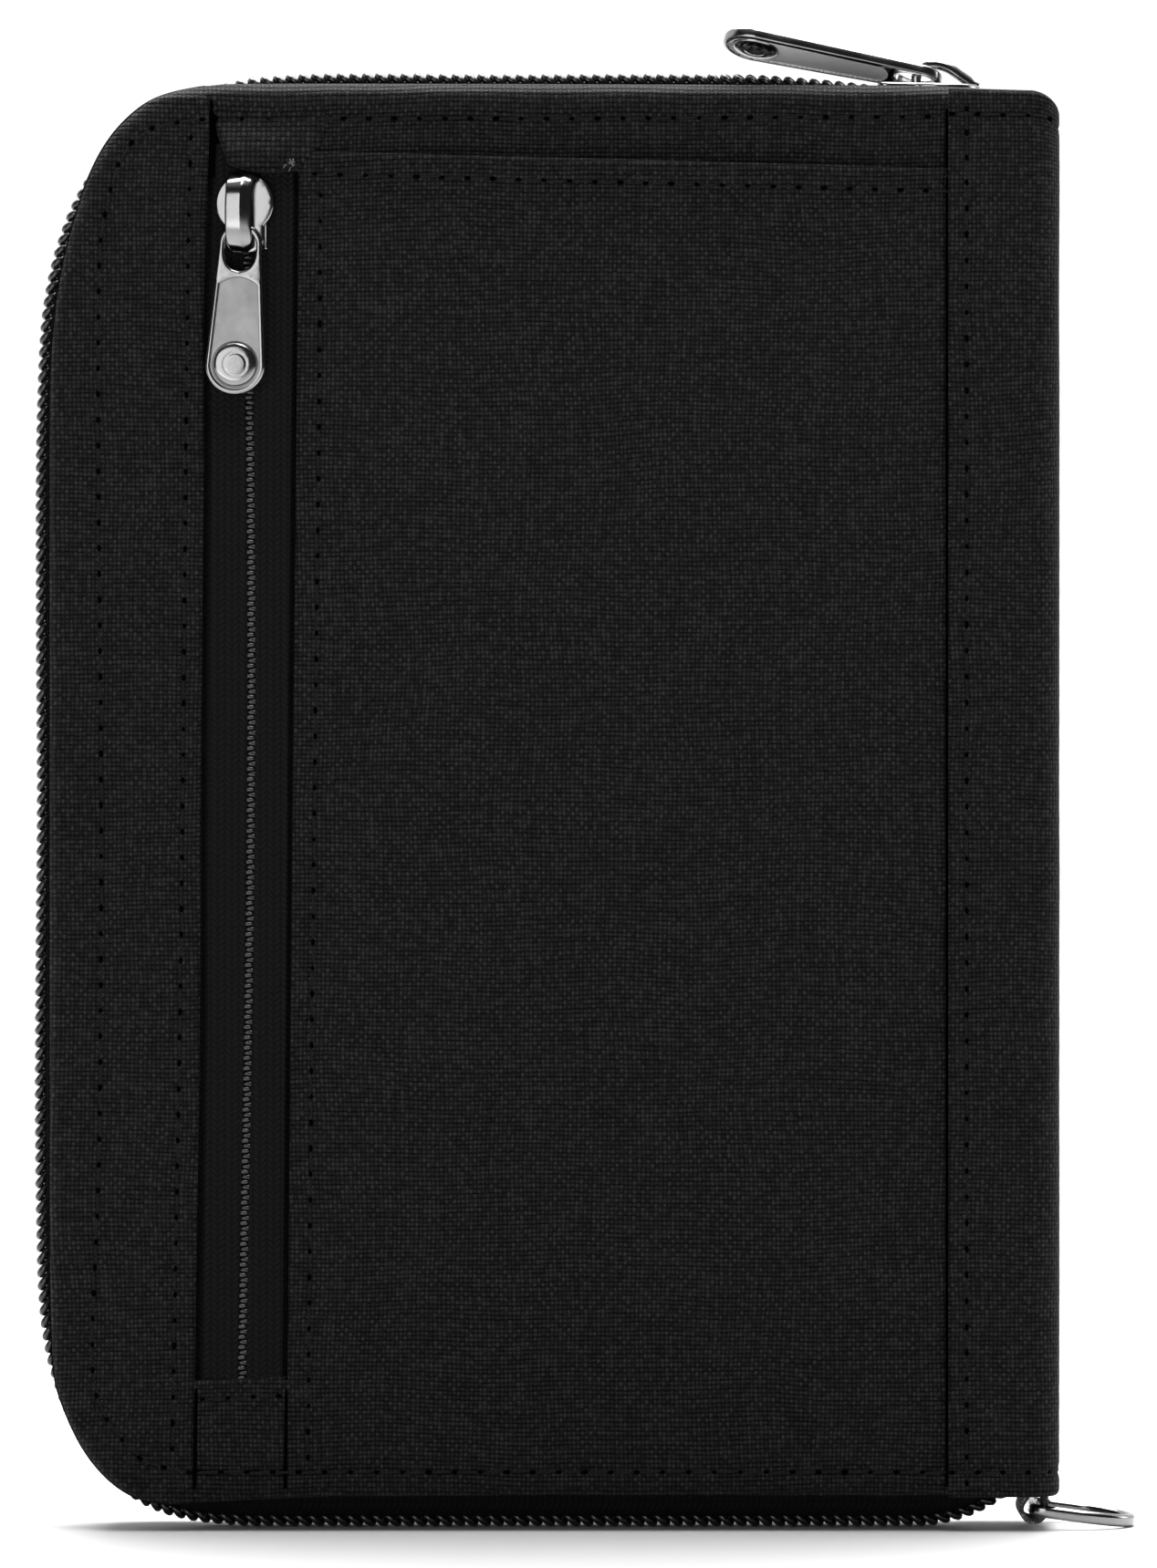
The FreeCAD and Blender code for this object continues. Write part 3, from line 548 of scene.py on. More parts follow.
def plain_weave():
    """Plain weave: threads pass over and under each other one by one."""
    s = Shader("outer_weave")
    slub = 0.7                                  # how much the threads' thickness varies
    x, y = s.cloth()
    drift = s.noise(s.pair(x, y), 0.05, 1.0)
    wander = s.math("MULTIPLY", s.math("SUBTRACT", drift, 0.5), 1.6)
    fine = s.noise(s.pair(x, y, 3.0), 0.9, 2.0)
    jitter = s.math("MULTIPLY", s.math("SUBTRACT", fine, 0.5), 0.10)
    u = s.math("DIVIDE", s.math("ADD", x, s.math("ADD", wander, jitter)), WEAVE[0])
    v = s.math("DIVIDE", s.math("ADD", y, s.math("SUBTRACT", jitter, wander)), WEAVE[1])
    cu, cv = s.ridges(u, None), s.ridges(v, None)
    over = s.crossing(cu, cv)
    under = s.math("SUBTRACT", 1.0, over)
    warp = s.math("MULTIPLY", s.math("POWER", s.math("ABSOLUTE", cu), 0.55), over)
    weft = s.math("MULTIPLY", s.math("POWER", s.math("ABSOLUTE", cv), 0.55), under)
    height = s.math("MAXIMUM", warp, weft)
    thread = s.cell(s.math("ADD", u, 0.5), s.math("ADD", v, 0.5))
    gap = s.cell(s.math("MULTIPLY", u, 0.5), v, 3.0)
    between_rows = s.math("POWER", s.math("SUBTRACT", 1.0, s.math("ABSOLUTE", cv)), 2.5)
    row_gap_dip_and_shade = s.math("MULTIPLY", between_rows, s.math("MULTIPLY_ADD", gap, 1.3, -0.1))
    along_warp = s.noise(s.pair(u, s.math("MULTIPLY", v, 0.06)), 1.0, 2.0)
    along_weft = s.noise(s.pair(s.math("MULTIPLY", u, 0.06), v, 7.0), 1.0, 2.0)
    streak = s.math("MAXIMUM", s.math("MULTIPLY", along_warp, over),
                    s.math("MULTIPLY", along_weft, under))
    fibres = s.noise(s.pair(s.math("MULTIPLY", x, 9.0), s.math("MULTIPLY", y, 2.2), 5.0), 1.0, 2.0)
    bright = s.math("MULTIPLY_ADD", s.math("POWER", thread, 2.2), 0.85, 0.22)
    # Painted shade: the thread crowns are coloured lighter and the hollows between threads darker,
    # over each thread's own random tone.
    tone = s.math("MULTIPLY", s.math("POWER", height, 1.5), bright)
    tone = s.math("MULTIPLY", tone, s.math("MULTIPLY_ADD", over, 0.75, 0.62))
    tone = s.math("ADD", tone, s.math("MULTIPLY", s.math("SUBTRACT", streak, 0.36), slub))
    tone = s.math("ADD", tone, s.math("MULTIPLY", s.math("SUBTRACT", fibres, 0.5), 0.4))
    # Painted shade: dark dashes in the gaps between the rows.
    tone = s.math("SUBTRACT", s.math("ADD", tone, 0.12), s.math("MULTIPLY", row_gap_dip_and_shade, 0.34))
    colour = s.mix(s.math("MINIMUM", s.math("MAXIMUM", tone, 0.0), 1.0),
                   (0.0010, 0.0010, 0.0011), (0.0305, 0.0302, 0.031))
    relief_height = s.math("ADD", s.math("MULTIPLY", height, s.math("ADD", bright, 0.3)),
                           s.math("MULTIPLY", fibres, 0.12))
    relief_height = s.math("SUBTRACT", relief_height, s.math("MULTIPLY", row_gap_dip_and_shade, 0.2))
    return s.finish(Base_Color=colour, Roughness=0.62, Normal=s.bump(relief_height, 0.0002),
                    Sheen_Weight=0.03, Sheen_Roughness=0.4, Specular_IOR_Level=0.04)


def zip_tape_cloth():
    """Knitted zip tape: short slanting stitches that turn over from column to column."""
    s = Shader("zip_tape_cloth")
    x, y = s.cloth()
    column = s.math("DIVIDE", x, 0.72)
    zig = s.math("PINGPONG", column, 1.0)
    rows = s.math("DIVIDE", s.math("ADD", y, s.math("MULTIPLY", zig, 0.5)), 0.62)
    ridge = s.math("ABSOLUTE", s.ridges(rows, None))
    wale = s.math("ABSOLUTE", s.ridges(column, None, "SINE"))
    height = s.math("MULTIPLY", s.math("POWER", ridge, 0.6), s.math("POWER", wale, 0.4))
    grain = s.noise(s.pair(x, y), 1.3, 3.0)
    # Painted shade: ridges are coloured lighter and grooves darker, over the tape's own grain.
    tone = s.math("ADD", s.math("MULTIPLY", height, 0.7), s.math("MULTIPLY", grain, 0.3))
    colour = s.mix(tone, (0.0014, 0.0014, 0.0015), (0.0085, 0.0085, 0.009))
    return s.finish(Base_Color=colour, Roughness=0.7, Normal=s.bump(height, 0.00011),
                    Sheen_Weight=0.01, Specular_IOR_Level=0.05)


def smooth_lining():
    """Fine dark lining cloth."""
    s = Shader("lining_cloth")
    x, y = s.cloth()
    over = s.crossing(s.ridges(x, 0.22), s.ridges(y, 0.2))
    cloud = s.noise(s.pair(x, y), 0.12, 3.0)
    # Painted shade: the crossings on top are coloured lighter than the threads beneath, over slow
    # random clouds.
    tone = s.math("ADD", s.math("MULTIPLY", over, 0.5), s.math("MULTIPLY", cloud, 0.5))
    colour = s.mix(tone, (0.014, 0.015, 0.018), (0.04, 0.043, 0.05))
    return s.finish(Base_Color=colour, Roughness=0.5, Normal=s.bump(over, 0.00004),
                    Sheen_Weight=0.15, Specular_IOR_Level=0.4)


def nylon():
    """Smooth black nylon wire of the coils."""
    s = Shader("nylon_coil")
    spots = s.noise(s.place(), 900.0, 2.0)
    colour = s.mix(spots, (0.003, 0.003, 0.003), (0.012, 0.012, 0.012))
    return s.finish(Base_Color=colour, Roughness=0.22, Specular_IOR_Level=0.6,
                    Normal=s.bump(spots, 0.00001))


def sewing_thread(name="sewing_thread", dark=(0.002,) * 3, light=(0.010,) * 3, shine=0.12):
    """Twisted polyester thread."""
    s = Shader(name)
    x, y = s.cloth()
    twist = s.math("ADD", s.math("MULTIPLY", x, 2.6), y)
    ply = s.math("ABSOLUTE", s.math("SINE", s.math("MULTIPLY", twist, math.pi * 2)))
    # Painted shade: the plies' crowns are coloured lighter and the grooves between them darker.
    colour = s.mix(ply, dark, light)
    return s.finish(Base_Color=colour, Roughness=0.6, Normal=s.bump(ply, 0.00005),
                    Sheen_Weight=0.02, Specular_IOR_Level=shine)


def painted_shade_black():
    """Black painted shade for the inside of a needle hole and for the gap under a fold."""
    s = Shader("painted_hole_and_gap_shade")
    grain = s.noise(s.place(), 900.0, 2.0)
    return s.finish(Base_Color=s.mix(grain, (0.0004, 0.0004, 0.0004), (0.0012, 0.0012, 0.0012)),
                    Roughness=0.95, Specular_IOR_Level=0.0)


def melange_webbing():
    """Webbing of black and grey yarns."""
    s = Shader("melange_webbing")
    x, y = s.cloth()
    cu, cv = s.ridges(x, 0.34), s.ridges(y, 0.42)
    over = s.crossing(cu, cv)
    height = s.math("MAXIMUM", s.math("MULTIPLY", s.math("ABSOLUTE", cu), over),
                    s.math("MULTIPLY", s.math("ABSOLUTE", cv), s.math("SUBTRACT", 1.0, over)))
    fleck = s.noise(s.pair(s.math("MULTIPLY", x, 1.6), s.math("MULTIPLY", y, 1.6)), 1.0, 3.0, 0.7)
    colour = s.ramp(fleck, ((0.34, (0.012, 0.012, 0.012)), (0.5, (0.10, 0.10, 0.10)),
                            (0.62, (0.42, 0.42, 0.42))))
    shade = s.mix(s.math("POWER", height, 0.7), (0.01, 0.01, 0.01), colour)
    return s.finish(Base_Color=shade, Roughness=0.8, Normal=s.bump(height, 0.00013),
                    Sheen_Weight=0.2)


def gunmetal(name="gunmetal", tone=0.30, rough=0.12, metallic=1.0, stain=0.86):
    """Black-nickel plating with faint handling marks; stain is the tone of its darker clouds."""
    s = Shader(name)
    place = s.place()
    haze = s.noise(place, 320.0, 4.0, 0.6)
    scratch = s.nodes.new("ShaderNodeTexNoise")
    stretch = s.nodes.new("ShaderNodeMapping")
    stretch.inputs["Scale"].default_value = (5200.0, 5200.0, 500.0)
    s.links.new(place, stretch.inputs[0])
    s.links.new(stretch.outputs[0], scratch.inputs["Vector"])
    marks = scratch.outputs["Fac"]
    cloud = s.math("MULTIPLY_ADD", s.math("SUBTRACT", haze, 0.5), 2.2, 0.5)
    colour = s.mix(cloud, (tone * stain, tone * stain, tone * stain), (tone, tone, tone * 1.01))
    roughness = s.math("ADD", rough, s.math("MULTIPLY", s.math("SUBTRACT", haze, 0.4), 0.22))
    return s.finish(Base_Color=colour, Metallic=metallic, Roughness=roughness,
                    Normal=s.bump(marks, 0.0000035))


def board_plastic():
    """Grey plastic of the stiffening boards."""
    s = Shader("stiffener_board")
    grain = s.noise(s.place(), 600.0, 3.0)
    colour = s.mix(grain, (0.03, 0.03, 0.03), (0.07, 0.07, 0.07))
    return s.finish(Base_Color=colour, Roughness=0.6, Normal=s.bump(grain, 0.00002))


def filler_foam():
    """Thin dark foam between board and cloth."""
    s = Shader("filler_foam")
    cell = s.noise(s.place(), 2200.0, 3.0, 0.7)
    colour = s.mix(cell, (0.03, 0.03, 0.03), (0.09, 0.09, 0.09))
    return s.finish(Base_Color=colour, Roughness=0.9, Normal=s.bump(cell, 0.00008))


OUTER = plain_weave()
TAPE = zip_tape_cloth()
LINING = smooth_lining()
COIL = nylon()
THREAD = sewing_thread()
FRAYED = sewing_thread("frayed_thread", (0.012,) * 3, (0.16,) * 3, 0.5)
PAINTED_SHADE = painted_shade_black()
WEBBING = melange_webbing()
METAL = gunmetal()
SATIN = gunmetal("satin_gunmetal", 0.36, 0.42, 0.8, 0.6)
# The main pull's sunken face: its satin finish painted near white as a non-metal, a painted
# reflection of bright surroundings.
SATIN_PAINTED_BRIGHT = gunmetal("satin_recess_painted_reflection", 0.98, 0.5, 0.0, 0.93)
BOARD = board_plastic()
FOAM = filler_foam()


# ---------------------------------------------------------------- seams

class Seam:
    """A row of lockstitches along a line of a panel, with the groove that it pulls."""

    def __init__(self, line, depth=0.14, width=0.55, pitch=STITCH, seed=1, hole_depth=0.42):
        self.line = walk(line, 0.35)
        self.holes = walk(line, pitch)
        self.pitch, self.depth, self.width, self.hole_depth = pitch, depth, width, hole_depth
        self.random = np.random.default_rng(seed)

    def along(self):
        """The seam's direction at each hole."""
        return directions(self.holes)

    def marks(self):
        """Points that a mesh needs round each hole and along both sides of the groove."""
        edge = directions(self.line)
        normal = np.stack([-edge[:, 1], edge[:, 0]], axis=1)
        rows = [self.line + normal * offset for offset in (-0.95, 0.95)]
        for radius, count in ((0.0, 1), (0.12, 6), (0.26, 8), (0.42, 10), (0.65, 12)):
            for k in range(count):
                angle = 2 * math.pi * (k + radius) / count
                rows.append(self.holes + radius * np.array([math.cos(angle), math.sin(angle)]))
        middle = self.holes[:-1] / 2 + self.holes[1:] / 2
        across = (self.along()[:-1] @ np.array([[0, 1], [-1, 0]]))
        for share in (-0.26, 0.0, 0.26):
            for offset in (-0.4, 0.0, 0.4):
                rows.append(middle + self.along()[:-1] * self.pitch * share + across * offset)
        return np.concatenate(rows)

    def drop(self, x, y):
        """How far the seam pulls the cloth down at each point."""
        reach, long, radius = 1.2, 1.5, 0.17    # of a hole: where it acts, its stretch, its size
        points = np.stack([x, y], axis=1)
        gap = line_distance(points, self.line)
        groove = self.depth * np.exp(-(gap / self.width) ** 2)
        near = np.where(gap < reach)[0]
        if len(near):
            tree = tree_of(self.holes)
            index = [tree.find((a, b, 0))[1] for a, b in points[near]]
            offset = points[near] - self.holes[index]
            along = self.along()[index]
            run = (offset * along).sum(axis=1) / long
            aside = offset[:, 0] * along[:, 1] - offset[:, 1] * along[:, 0]
            groove[near] += self.hole_depth * np.exp(-(run ** 2 + aside ** 2) / radius ** 2)
        return groove

    def paths(self, height, place):
        """Each stitch rises out of one hole, lies in the groove and dives into the next."""
        hole_floor, rise, slant = -0.5, 0.40, 0.14
        out = []
        arc = np.sin(np.linspace(0, math.pi, 9)) ** 0.5
        for a, b in zip(self.holes[:-1], self.holes[1:]):
            t = np.linspace(0.01, 0.99, 9)[:, None]
            flat = a + (b - a) * t
            along = (b - a) / np.linalg.norm(b - a)
            across = np.array([-along[1], along[0]])
            skew = self.random.normal(0, 0.04)
            flat = flat + across * ((t - 0.5) * slant + skew)
            lift = hole_floor + rise * arc + self.random.normal(0, 0.015)
            out.append(place(flat[:, 0], flat[:, 1], height(flat[:, 0], flat[:, 1]) + lift))
        return out


def groove_of(seams, x, y):
    """How far all the seams of a panel pull it down."""
    return sum(seam.drop(x, y) for seam in seams) if seams else np.zeros(len(x))


def marks_of(seams):
    """The mesh points of all the seams of a panel."""
    return np.concatenate([seam.marks() for seam in seams]) if seams else None


def needle_hole_shade(name, seam, height, place):
    """Pits painted black as the shade inside the needle holes, where the thread dives through the
    cloth; a little long in the seam's line.
    """
    half, middle, ends = 0.26, -0.23, 0.12
    paths = []
    for (x, y), along in zip(seam.holes, seam.along()):
        t = np.linspace(-half, half, 5)
        flat = np.stack([x + along[0] * t, y + along[1] * t], axis=1)
        deep = middle - ends * (t / half) ** 2 + seam.random.normal(0, 0.05)
        paths.append(place(flat[:, 0], flat[:, 1], height(flat[:, 0], flat[:, 1]) + deep))
    piece = tubes(name, paths, HOLE_SHADE_RADIUS, sides=6)
    piece.data.materials.append(PAINTED_SHADE)
    return piece


def stitching(name, seams, heights, place, radius=THREAD_RADIUS):
    """The threads of several seams with the painted shade of their needle holes, as one piece."""
    paths, holes = [], []
    for seam, height in zip(seams, heights):
        paths += seam.paths(height, place)
        holes.append(needle_hole_shade(f"{name}_holes", seam, height, place))
    threads = tubes(name, paths, radius, sides=7)
    threads.data.materials.append(THREAD)
    return join(name, [threads] + holes)


def sew(name, seams, heights, place, body, radius=THREAD_RADIUS):
    """One thread object for several seams of a body."""
    piece = stitching(name, seams, heights, place, radius)
    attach(piece, body)
    return piece


# ---------------------------------------------------------------- covers

SEAM_TOP_LEFT, SEAM_TOP_RIGHT, SEAM_FOOT = 144.9, 145.2, 6.1    # heights of the rim's stitches
SLIP_TOP, SLIP_FOOT = -25.5, -26.8                      # x of the slip pocket's folded side
SLIP_HIGH_LEFT, SLIP_HIGH_RIGHT = 141.7, 139.8          # heights of its hem
CHANNEL_FOOT = 15.7                                     # where the pocket zip goes under its patch
COVER_END = 50.4
EDGE_ROLL = 1.5                                         # radius of the cover's rolled rim
COVER_UNDER = 5.15                                      # underside of the covers' cloth
BASE_FACE = BASE_LEVEL + 0.12

# The cover's rim, from the spine at the top over the left side to the foot.
COVER_TURNS = [
    (50.4, 146.9), (47.5, 147.8), (44, 148.2), (38, 148.5), (20, 148.6), (-10, 148.7),
    (-30, 148.7), (-34.4, 148.55), (-38.5, 147.8), (-41.3, 146.6),
    (-43.8, 144.5), (-45.7, 142.0), (-47.2, 139.0), (-48.3, 135.9), (-49.3, 132.4),
    (-50.1, 128.8), (-50.7, 124.5), (-51.1, 119), (-51.2, 110), (-51.2, 75), (-51.2, 40),
    (-51.15, 25), (-51.0, 20), (-50.7, 15.8), (-49.65, 12.3), (-47.85, 8.55), (-45.5, 5.55),
    (-42.7, 3.55), (-39.5, 2.75), (-36, 2.85), (-30, 3.15), (-20, 3.5), (0, 3.6)]


def cover_edge(grow=0.0, right=COVER_END, step=0.6):
    """The cover's outline, anticlockwise; it can be cut off at another right end."""
    beyond, far, high, low = 54, 99, 146.2, 3.6         # straight runs past the spine side
    line = spline([(beyond, high)] + COVER_TURNS + [(beyond, low)], step)
    line = np.concatenate([[(far, high)], line, [(far, low)]])
    line = walk(line, step, whole=int)
    edge = directions(line)
    line = line + np.stack([edge[:, 1], -edge[:, 0]], axis=1) * grow
    line = line[line[:, 0] < right - 0.2]
    top, foot = line[0, 1], line[-1, 1]
    return divide(np.concatenate([[(right, top)], line, [(right, foot)]]), step)


OUTER_EDGE = cover_edge(right=90.0)


def edge_gap(x, y):
    """Distance in from the cover's rim, leaving out the spine side."""
    return line_distance(np.stack([x, y], axis=1), OUTER_EDGE, True)


def left_seam():
    """Perimeter stitches of the left strip, from its fold at the top to its fold at the foot."""
    return spline([(-35.4, 144.9), (-37.8, 144.6), (-40.9, 143.8), (-43.6, 141.2), (-45.3, 135.6),
                   (-46.0, 129.5), (-46.1, 110), (-45.8, 75), (-46.0, 40), (-46.7, 20),
                   (-46.4, 14.7), (-45.5, 12.0), (-44.0, 9.9), (-42.2, 7.8), (-39.8, 6.7),
                   (-36.8, 6.1)], 0.35)


# The left strip's folded inner edge, from the top down.
FOLD_LINE = [(-34.5, 149), (-34.9, 138), (-35.25, 127), (-35.3, 110), (-35.6, 79), (-35.7, 52),
             (-36.1, 24), (-36.4, 2)]


def fold_at(y):
    """Where the left strip's folded edge lies at a height."""
    line = np.array(FOLD_LINE)[::-1]
    return np.interp(y, line[:, 1], line[:, 0])


def lean_back(y):
    """The sewn top band leans back from its seam to the rim."""
    return 1.25 * np.clip((y - 146.8) / 1.8, 0, 1) ** 1.2


def lap_gap(x):
    """The cloth is pressed down where the spine fabric's folded edge lies on it."""
    return 0.4 * np.exp(-((x - LAP_EDGE + 0.12) / 0.3) ** 2)


def painted_fold_shadow(name, x, y, height):
    """A black tube of painted shadow in the gap under a folded edge, where it lies on the cloth
    below.
    """
    piece = tubes(name, [facing_back(x, y, height)], GAP_SHADOW_RADIUS, sides=6)
    return wear(piece, PAINTED_SHADE, "back_cover")


def lap_marks(low, high):
    """Mesh points along the spine fabric's folded edge."""
    y = np.arange(low, high, 0.9)
    return np.concatenate([np.stack([np.full(len(y), LAP_EDGE - 0.12 + shift), y], axis=1)
                           for shift in (-0.75, -0.5, -0.3, -0.15, 0.0, 0.2, 0.45)])


SLIP_RIGHT = LAP_EDGE + 2.6                             # it ends under the spine fabric


def slip_mouth(x):
    """Height of the slip pocket's hem, which falls towards the spine."""
    return np.interp(x, [SLIP_TOP, SLIP_RIGHT], [SLIP_HIGH_LEFT, SLIP_HIGH_RIGHT])


def slip_fold(y):
    """Where the slip pocket's folded side lies at a height."""
    return np.interp(y, [COVER_FOOT, SLIP_HIGH_LEFT], [SLIP_FOOT, SLIP_TOP])


def back_cover_cloth():
    """Base fabric of the back cover; only its band over the slip pocket stays in sight.

    It gives back the seam along the foot, which goes through the slip pocket as well.
    """
    left, right, low, high = -36.9, -25.0, 14.9, 141.4      # opening over the pocket zip
    hole = rounded([(left, low, 0), (right, low, 0), (right, high, 0), (left, high, 0)])
    seam = Seam(spline([(LAP_EDGE + 0.5, SEAM_TOP_RIGHT), (20, 145.1), (0, 145.0), (-20, 145.0),
                        (-34.0, SEAM_TOP_LEFT)]), seed=3)
    seam_foot = Seam([(-36.2, SEAM_FOOT), (LAP_EDGE, SEAM_FOOT)], seed=4)

    def top(x, y, d):
        """The band rises from its seam to the rim, and sinks towards the pocket's mouth."""
        edge = edge_gap(x, y)
        height = BASE_FACE - roll(edge, EDGE_ROLL) - groove_of([seam], x, y)
        band = 0.62 * np.clip((y - 145.5) / 1.6, 0, 1)
        mouth = slip_mouth(x)
        shade = 0.45 * np.clip(1 - (y - mouth) / 3.2, 0, 1) ** 1.5
        lap = 0.35 * lap_gap(x)
        above = np.clip((y - 140.5) / 2.0, 0, 1)
        height += above * 0.10 * ripple(x, y, 9.0, 2.0) * (edge > EDGE_ROLL)
        wedge = 0.35 * np.exp(-((x - np.interp(y, [141, 145, 148], [-33.7, -34.7, -35.6]))
                               / np.interp(y, [141, 148], [0.95, 0.3])) ** 2) * (y > 138)
        return height + band - shade - lap - wedge - lean_back(y)

    piece = relief("back_base_fabric", cover_edge(), top, level(COVER_UNDER), holes=[hole],
                   marks=np.concatenate([seam.marks(), lap_marks(139.0, 147.0)]), grid=2.0)
    wear(piece, OUTER, "back_cover", ("back_outer_fabric",))
    flat = lambda x, y: BASE_FACE + 0 * x
    sew("back_top_stitches", [seam], [flat], facing_back, "back_cover")
    # Painted shadow: a black tube under the spine fabric's folded edge at the head.
    y = np.linspace(139.9, 146.2, 9)
    painted_fold_shadow("lap_painted_shadow_head", np.full(9, LAP_EDGE - 0.13), y, np.full(9, BASE_FACE - 0.1))
    return seam_foot


def left_strip():
    """Edge strip: sewn in round the rim, its inner edge folded under and topstitched."""
    grow = 0.06
    rim = cover_edge(grow, right=0.0)
    rim = rim[rim[:, 0] < fold_at(rim[:, 1]) - 0.3]
    rim = rim[np.argsort(np.arctan2(rim[:, 1] - 75, rim[:, 0] + 36) % (2 * math.pi))]
    fold = spline([(x, y) for x, y in FOLD_LINE if 3 < y < 148], 0.6)
    high, low = rim[0, 1], rim[-1, 1]
    fold = np.concatenate([[(fold_at(high), high)], fold, [(fold_at(low), low)]])
    outline = divide(np.concatenate([rim, fold[::-1]]), 0.6)
    perimeter = Seam(left_seam(), seed=5)
    hem = Seam(spline([(-36.6, 143.0), (-36.9, 130), (-37.2, 100), (-37.6, 60), (-38.2, 25),
                       (-38.5, 8.5)]), depth=0.1, seed=6)
    seams = [perimeter, hem]

    def surface(x, y):
        inner = fold_at(y) - x
        puff = 0.14 * np.exp(-((inner - 0.8) / 0.9) ** 2)
        belly = 0.12 * np.exp(-((inner - 5.5) / 3.0) ** 2)
        return PANEL_LEVEL + 0.08 + puff + belly + 0.06 * ripple(x, y, 14.0, 4.0)

    def top(x, y, d):
        rim_gap = edge_gap(x, y)
        crease = 0.10 * np.exp(-((rim_gap - 1.9) / 0.35) ** 2)
        height = surface(x, y) - roll(rim_gap, EDGE_ROLL + 0.25) - crease - lean_back(y)
        height -= roll(np.maximum(fold_at(y) - x, 0), 0.38)
        return height - groove_of(seams, x, y)

    def under(x, y, d):
        return np.minimum(7.5, top(x, y, d) - 0.3)

    piece = relief("left_strip_fabric", outline, top, under, marks=marks_of(seams), grid=1.5)
    wear(piece, OUTER, "back_cover", ("left_edge_strip",))
    sew("left_strip_stitches", seams, [surface, surface], facing_back, "back_cover")


def slip_panel(seam_foot):
    """Slip pocket: left and top edges folded and topstitched, foot sewn into the rim."""
    low = COVER_FOOT - 0.06
    outline = rounded([(SLIP_FOOT, low, 0), (SLIP_RIGHT, low, 0),
                       (SLIP_RIGHT, SLIP_HIGH_RIGHT, 0), (SLIP_TOP, SLIP_HIGH_LEFT, 0.9)])
    side = Seam(spline([(-23.3, SLIP_HIGH_LEFT - 4.6), (-23.5, 110), (-24.1, 60), (-24.6, 7.6)]),
                depth=0.1, seed=7)
    head = Seam([(SLIP_TOP + 1.6, SLIP_HIGH_LEFT - 2.4), (LAP_EDGE + 0.3, SLIP_HIGH_RIGHT - 2.3)],
                depth=0.1, seed=8)
    seams = [side, head, seam_foot]
    fall = (SLIP_HIGH_RIGHT - SLIP_HIGH_LEFT) / (SLIP_RIGHT - SLIP_TOP)

    def below_hem(x, y):
        return np.maximum(SLIP_HIGH_LEFT + fall * (x - SLIP_TOP) - y, 0)

    def surface(x, y):
        puff = 0.12 * np.exp(-((x - slip_fold(y) - 0.8) / 1.0) ** 2)
        lip = 0.95 * np.exp(-(below_hem(x, y) / 1.7) ** 2) * np.sin(
            np.clip((x - SLIP_TOP) / (LAP_EDGE - SLIP_TOP), 0, 1) * math.pi) ** 0.6
        middle = np.sin(np.clip((x - SLIP_TOP) / 66, 0, 1) * math.pi)
        crown = 0.35 * middle * np.sin(np.clip((y - 6) / 132, 0, 1) * math.pi) ** 0.5
        return PANEL_LEVEL + 0.06 + puff + lip + crown + 0.05 * ripple(x, y, 22.0, 6.0)

    def top(x, y, d):
        height = surface(x, y) - roll(np.maximum(x - slip_fold(y), 0), 0.4)
        height -= roll(below_hem(x, y), 0.72)
        height -= lap_gap(x)
        return height - roll(edge_gap(x, y), EDGE_ROLL + 0.25) - groove_of(seams, x, y)

    def under(x, y, d):
        return np.minimum(7.6, top(x, y, d) - 0.3)

    piece = relief("slip_pocket_fabric", outline, top, under, grid=1.9,
                   marks=np.concatenate([marks_of(seams), lap_marks(4.5, 139.0)]))
    wear(piece, OUTER, "back_cover", ("slip_pocket_panel",))
    sew("slip_pocket_stitches", seams, [surface] * 3, facing_back, "back_cover")
    # Painted shadow: a black tube under the spine fabric's folded edge beside the pocket.
    y = np.linspace(4.6, 139.6, 60)
    x = np.full(60, LAP_EDGE - 0.13)
    painted_fold_shadow("lap_painted_shadow_side", x, y, surface(x, y) - 0.36)


def front_cover_cloth():
    """Front cover: one plain panel with a stitched rim, lapped by the spine fabric."""
    mirror = np.array([-1.0, 1.0])
    outline = (cover_edge() * mirror)[::-1]
    turn = left_seam() * mirror
    seam = Seam(np.concatenate([[(-LAP_EDGE + 0.1, SEAM_TOP_RIGHT)], turn,
                                [(-LAP_EDGE + 0.1, SEAM_FOOT)]]), seed=11)

    def surface(x, y):
        crown = 0.3 * np.sin(np.clip((x + 44) / 92, 0, 1) * math.pi)
        crown *= np.sin(np.clip((y - 5) / 140, 0, 1) * math.pi) ** 0.5
        return PANEL_LEVEL + 0.05 + crown + 0.05 * ripple(x, y, 25.0, 9.0)

    def top(x, y, d):
        height = surface(x, y) - roll(edge_gap(-x, y), EDGE_ROLL + 0.3)
        return height - groove_of([seam], x, y)

    piece = relief("front_cover_fabric", outline, top, level(COVER_UNDER), marks=seam.marks(),
                   grid=2.0, place=facing_front)
    wear(piece, OUTER, "front_cover", ("front_outer_fabric",))
    sew("front_stitches", [seam], [surface], facing_front, "front_cover")


# ---------------------------------------------------------------- spine fabric

LAP_FLAT = 49.4                                         # x where the lap starts to turn
SPINE_FACE = SPINE_HIGH[0] - CLOTH
SPINE_ROUND = SPINE_FACE - LAP_FLAT


def spine_curve(s):
    """Cross-section of the spine fabric: along the lap, round the corner, over the spine.

    s is 0 at the lap's folded edge; the answer is x, y and the outward direction.
    """
    flat = LAP_FLAT - LAP_EDGE
    bend = SPINE_ROUND * math.pi / 2
    angle = np.clip((s - flat) / SPINE_ROUND, 0, math.pi / 2)
    x = LAP_EDGE + np.minimum(s, flat) + SPINE_ROUND * np.sin(angle)
    y = -LAP_LEVEL + SPINE_ROUND * (1 - np.cos(angle)) + np.maximum(s - flat - bend, 0)
    return x, y, np.sin(angle), -np.cos(angle)


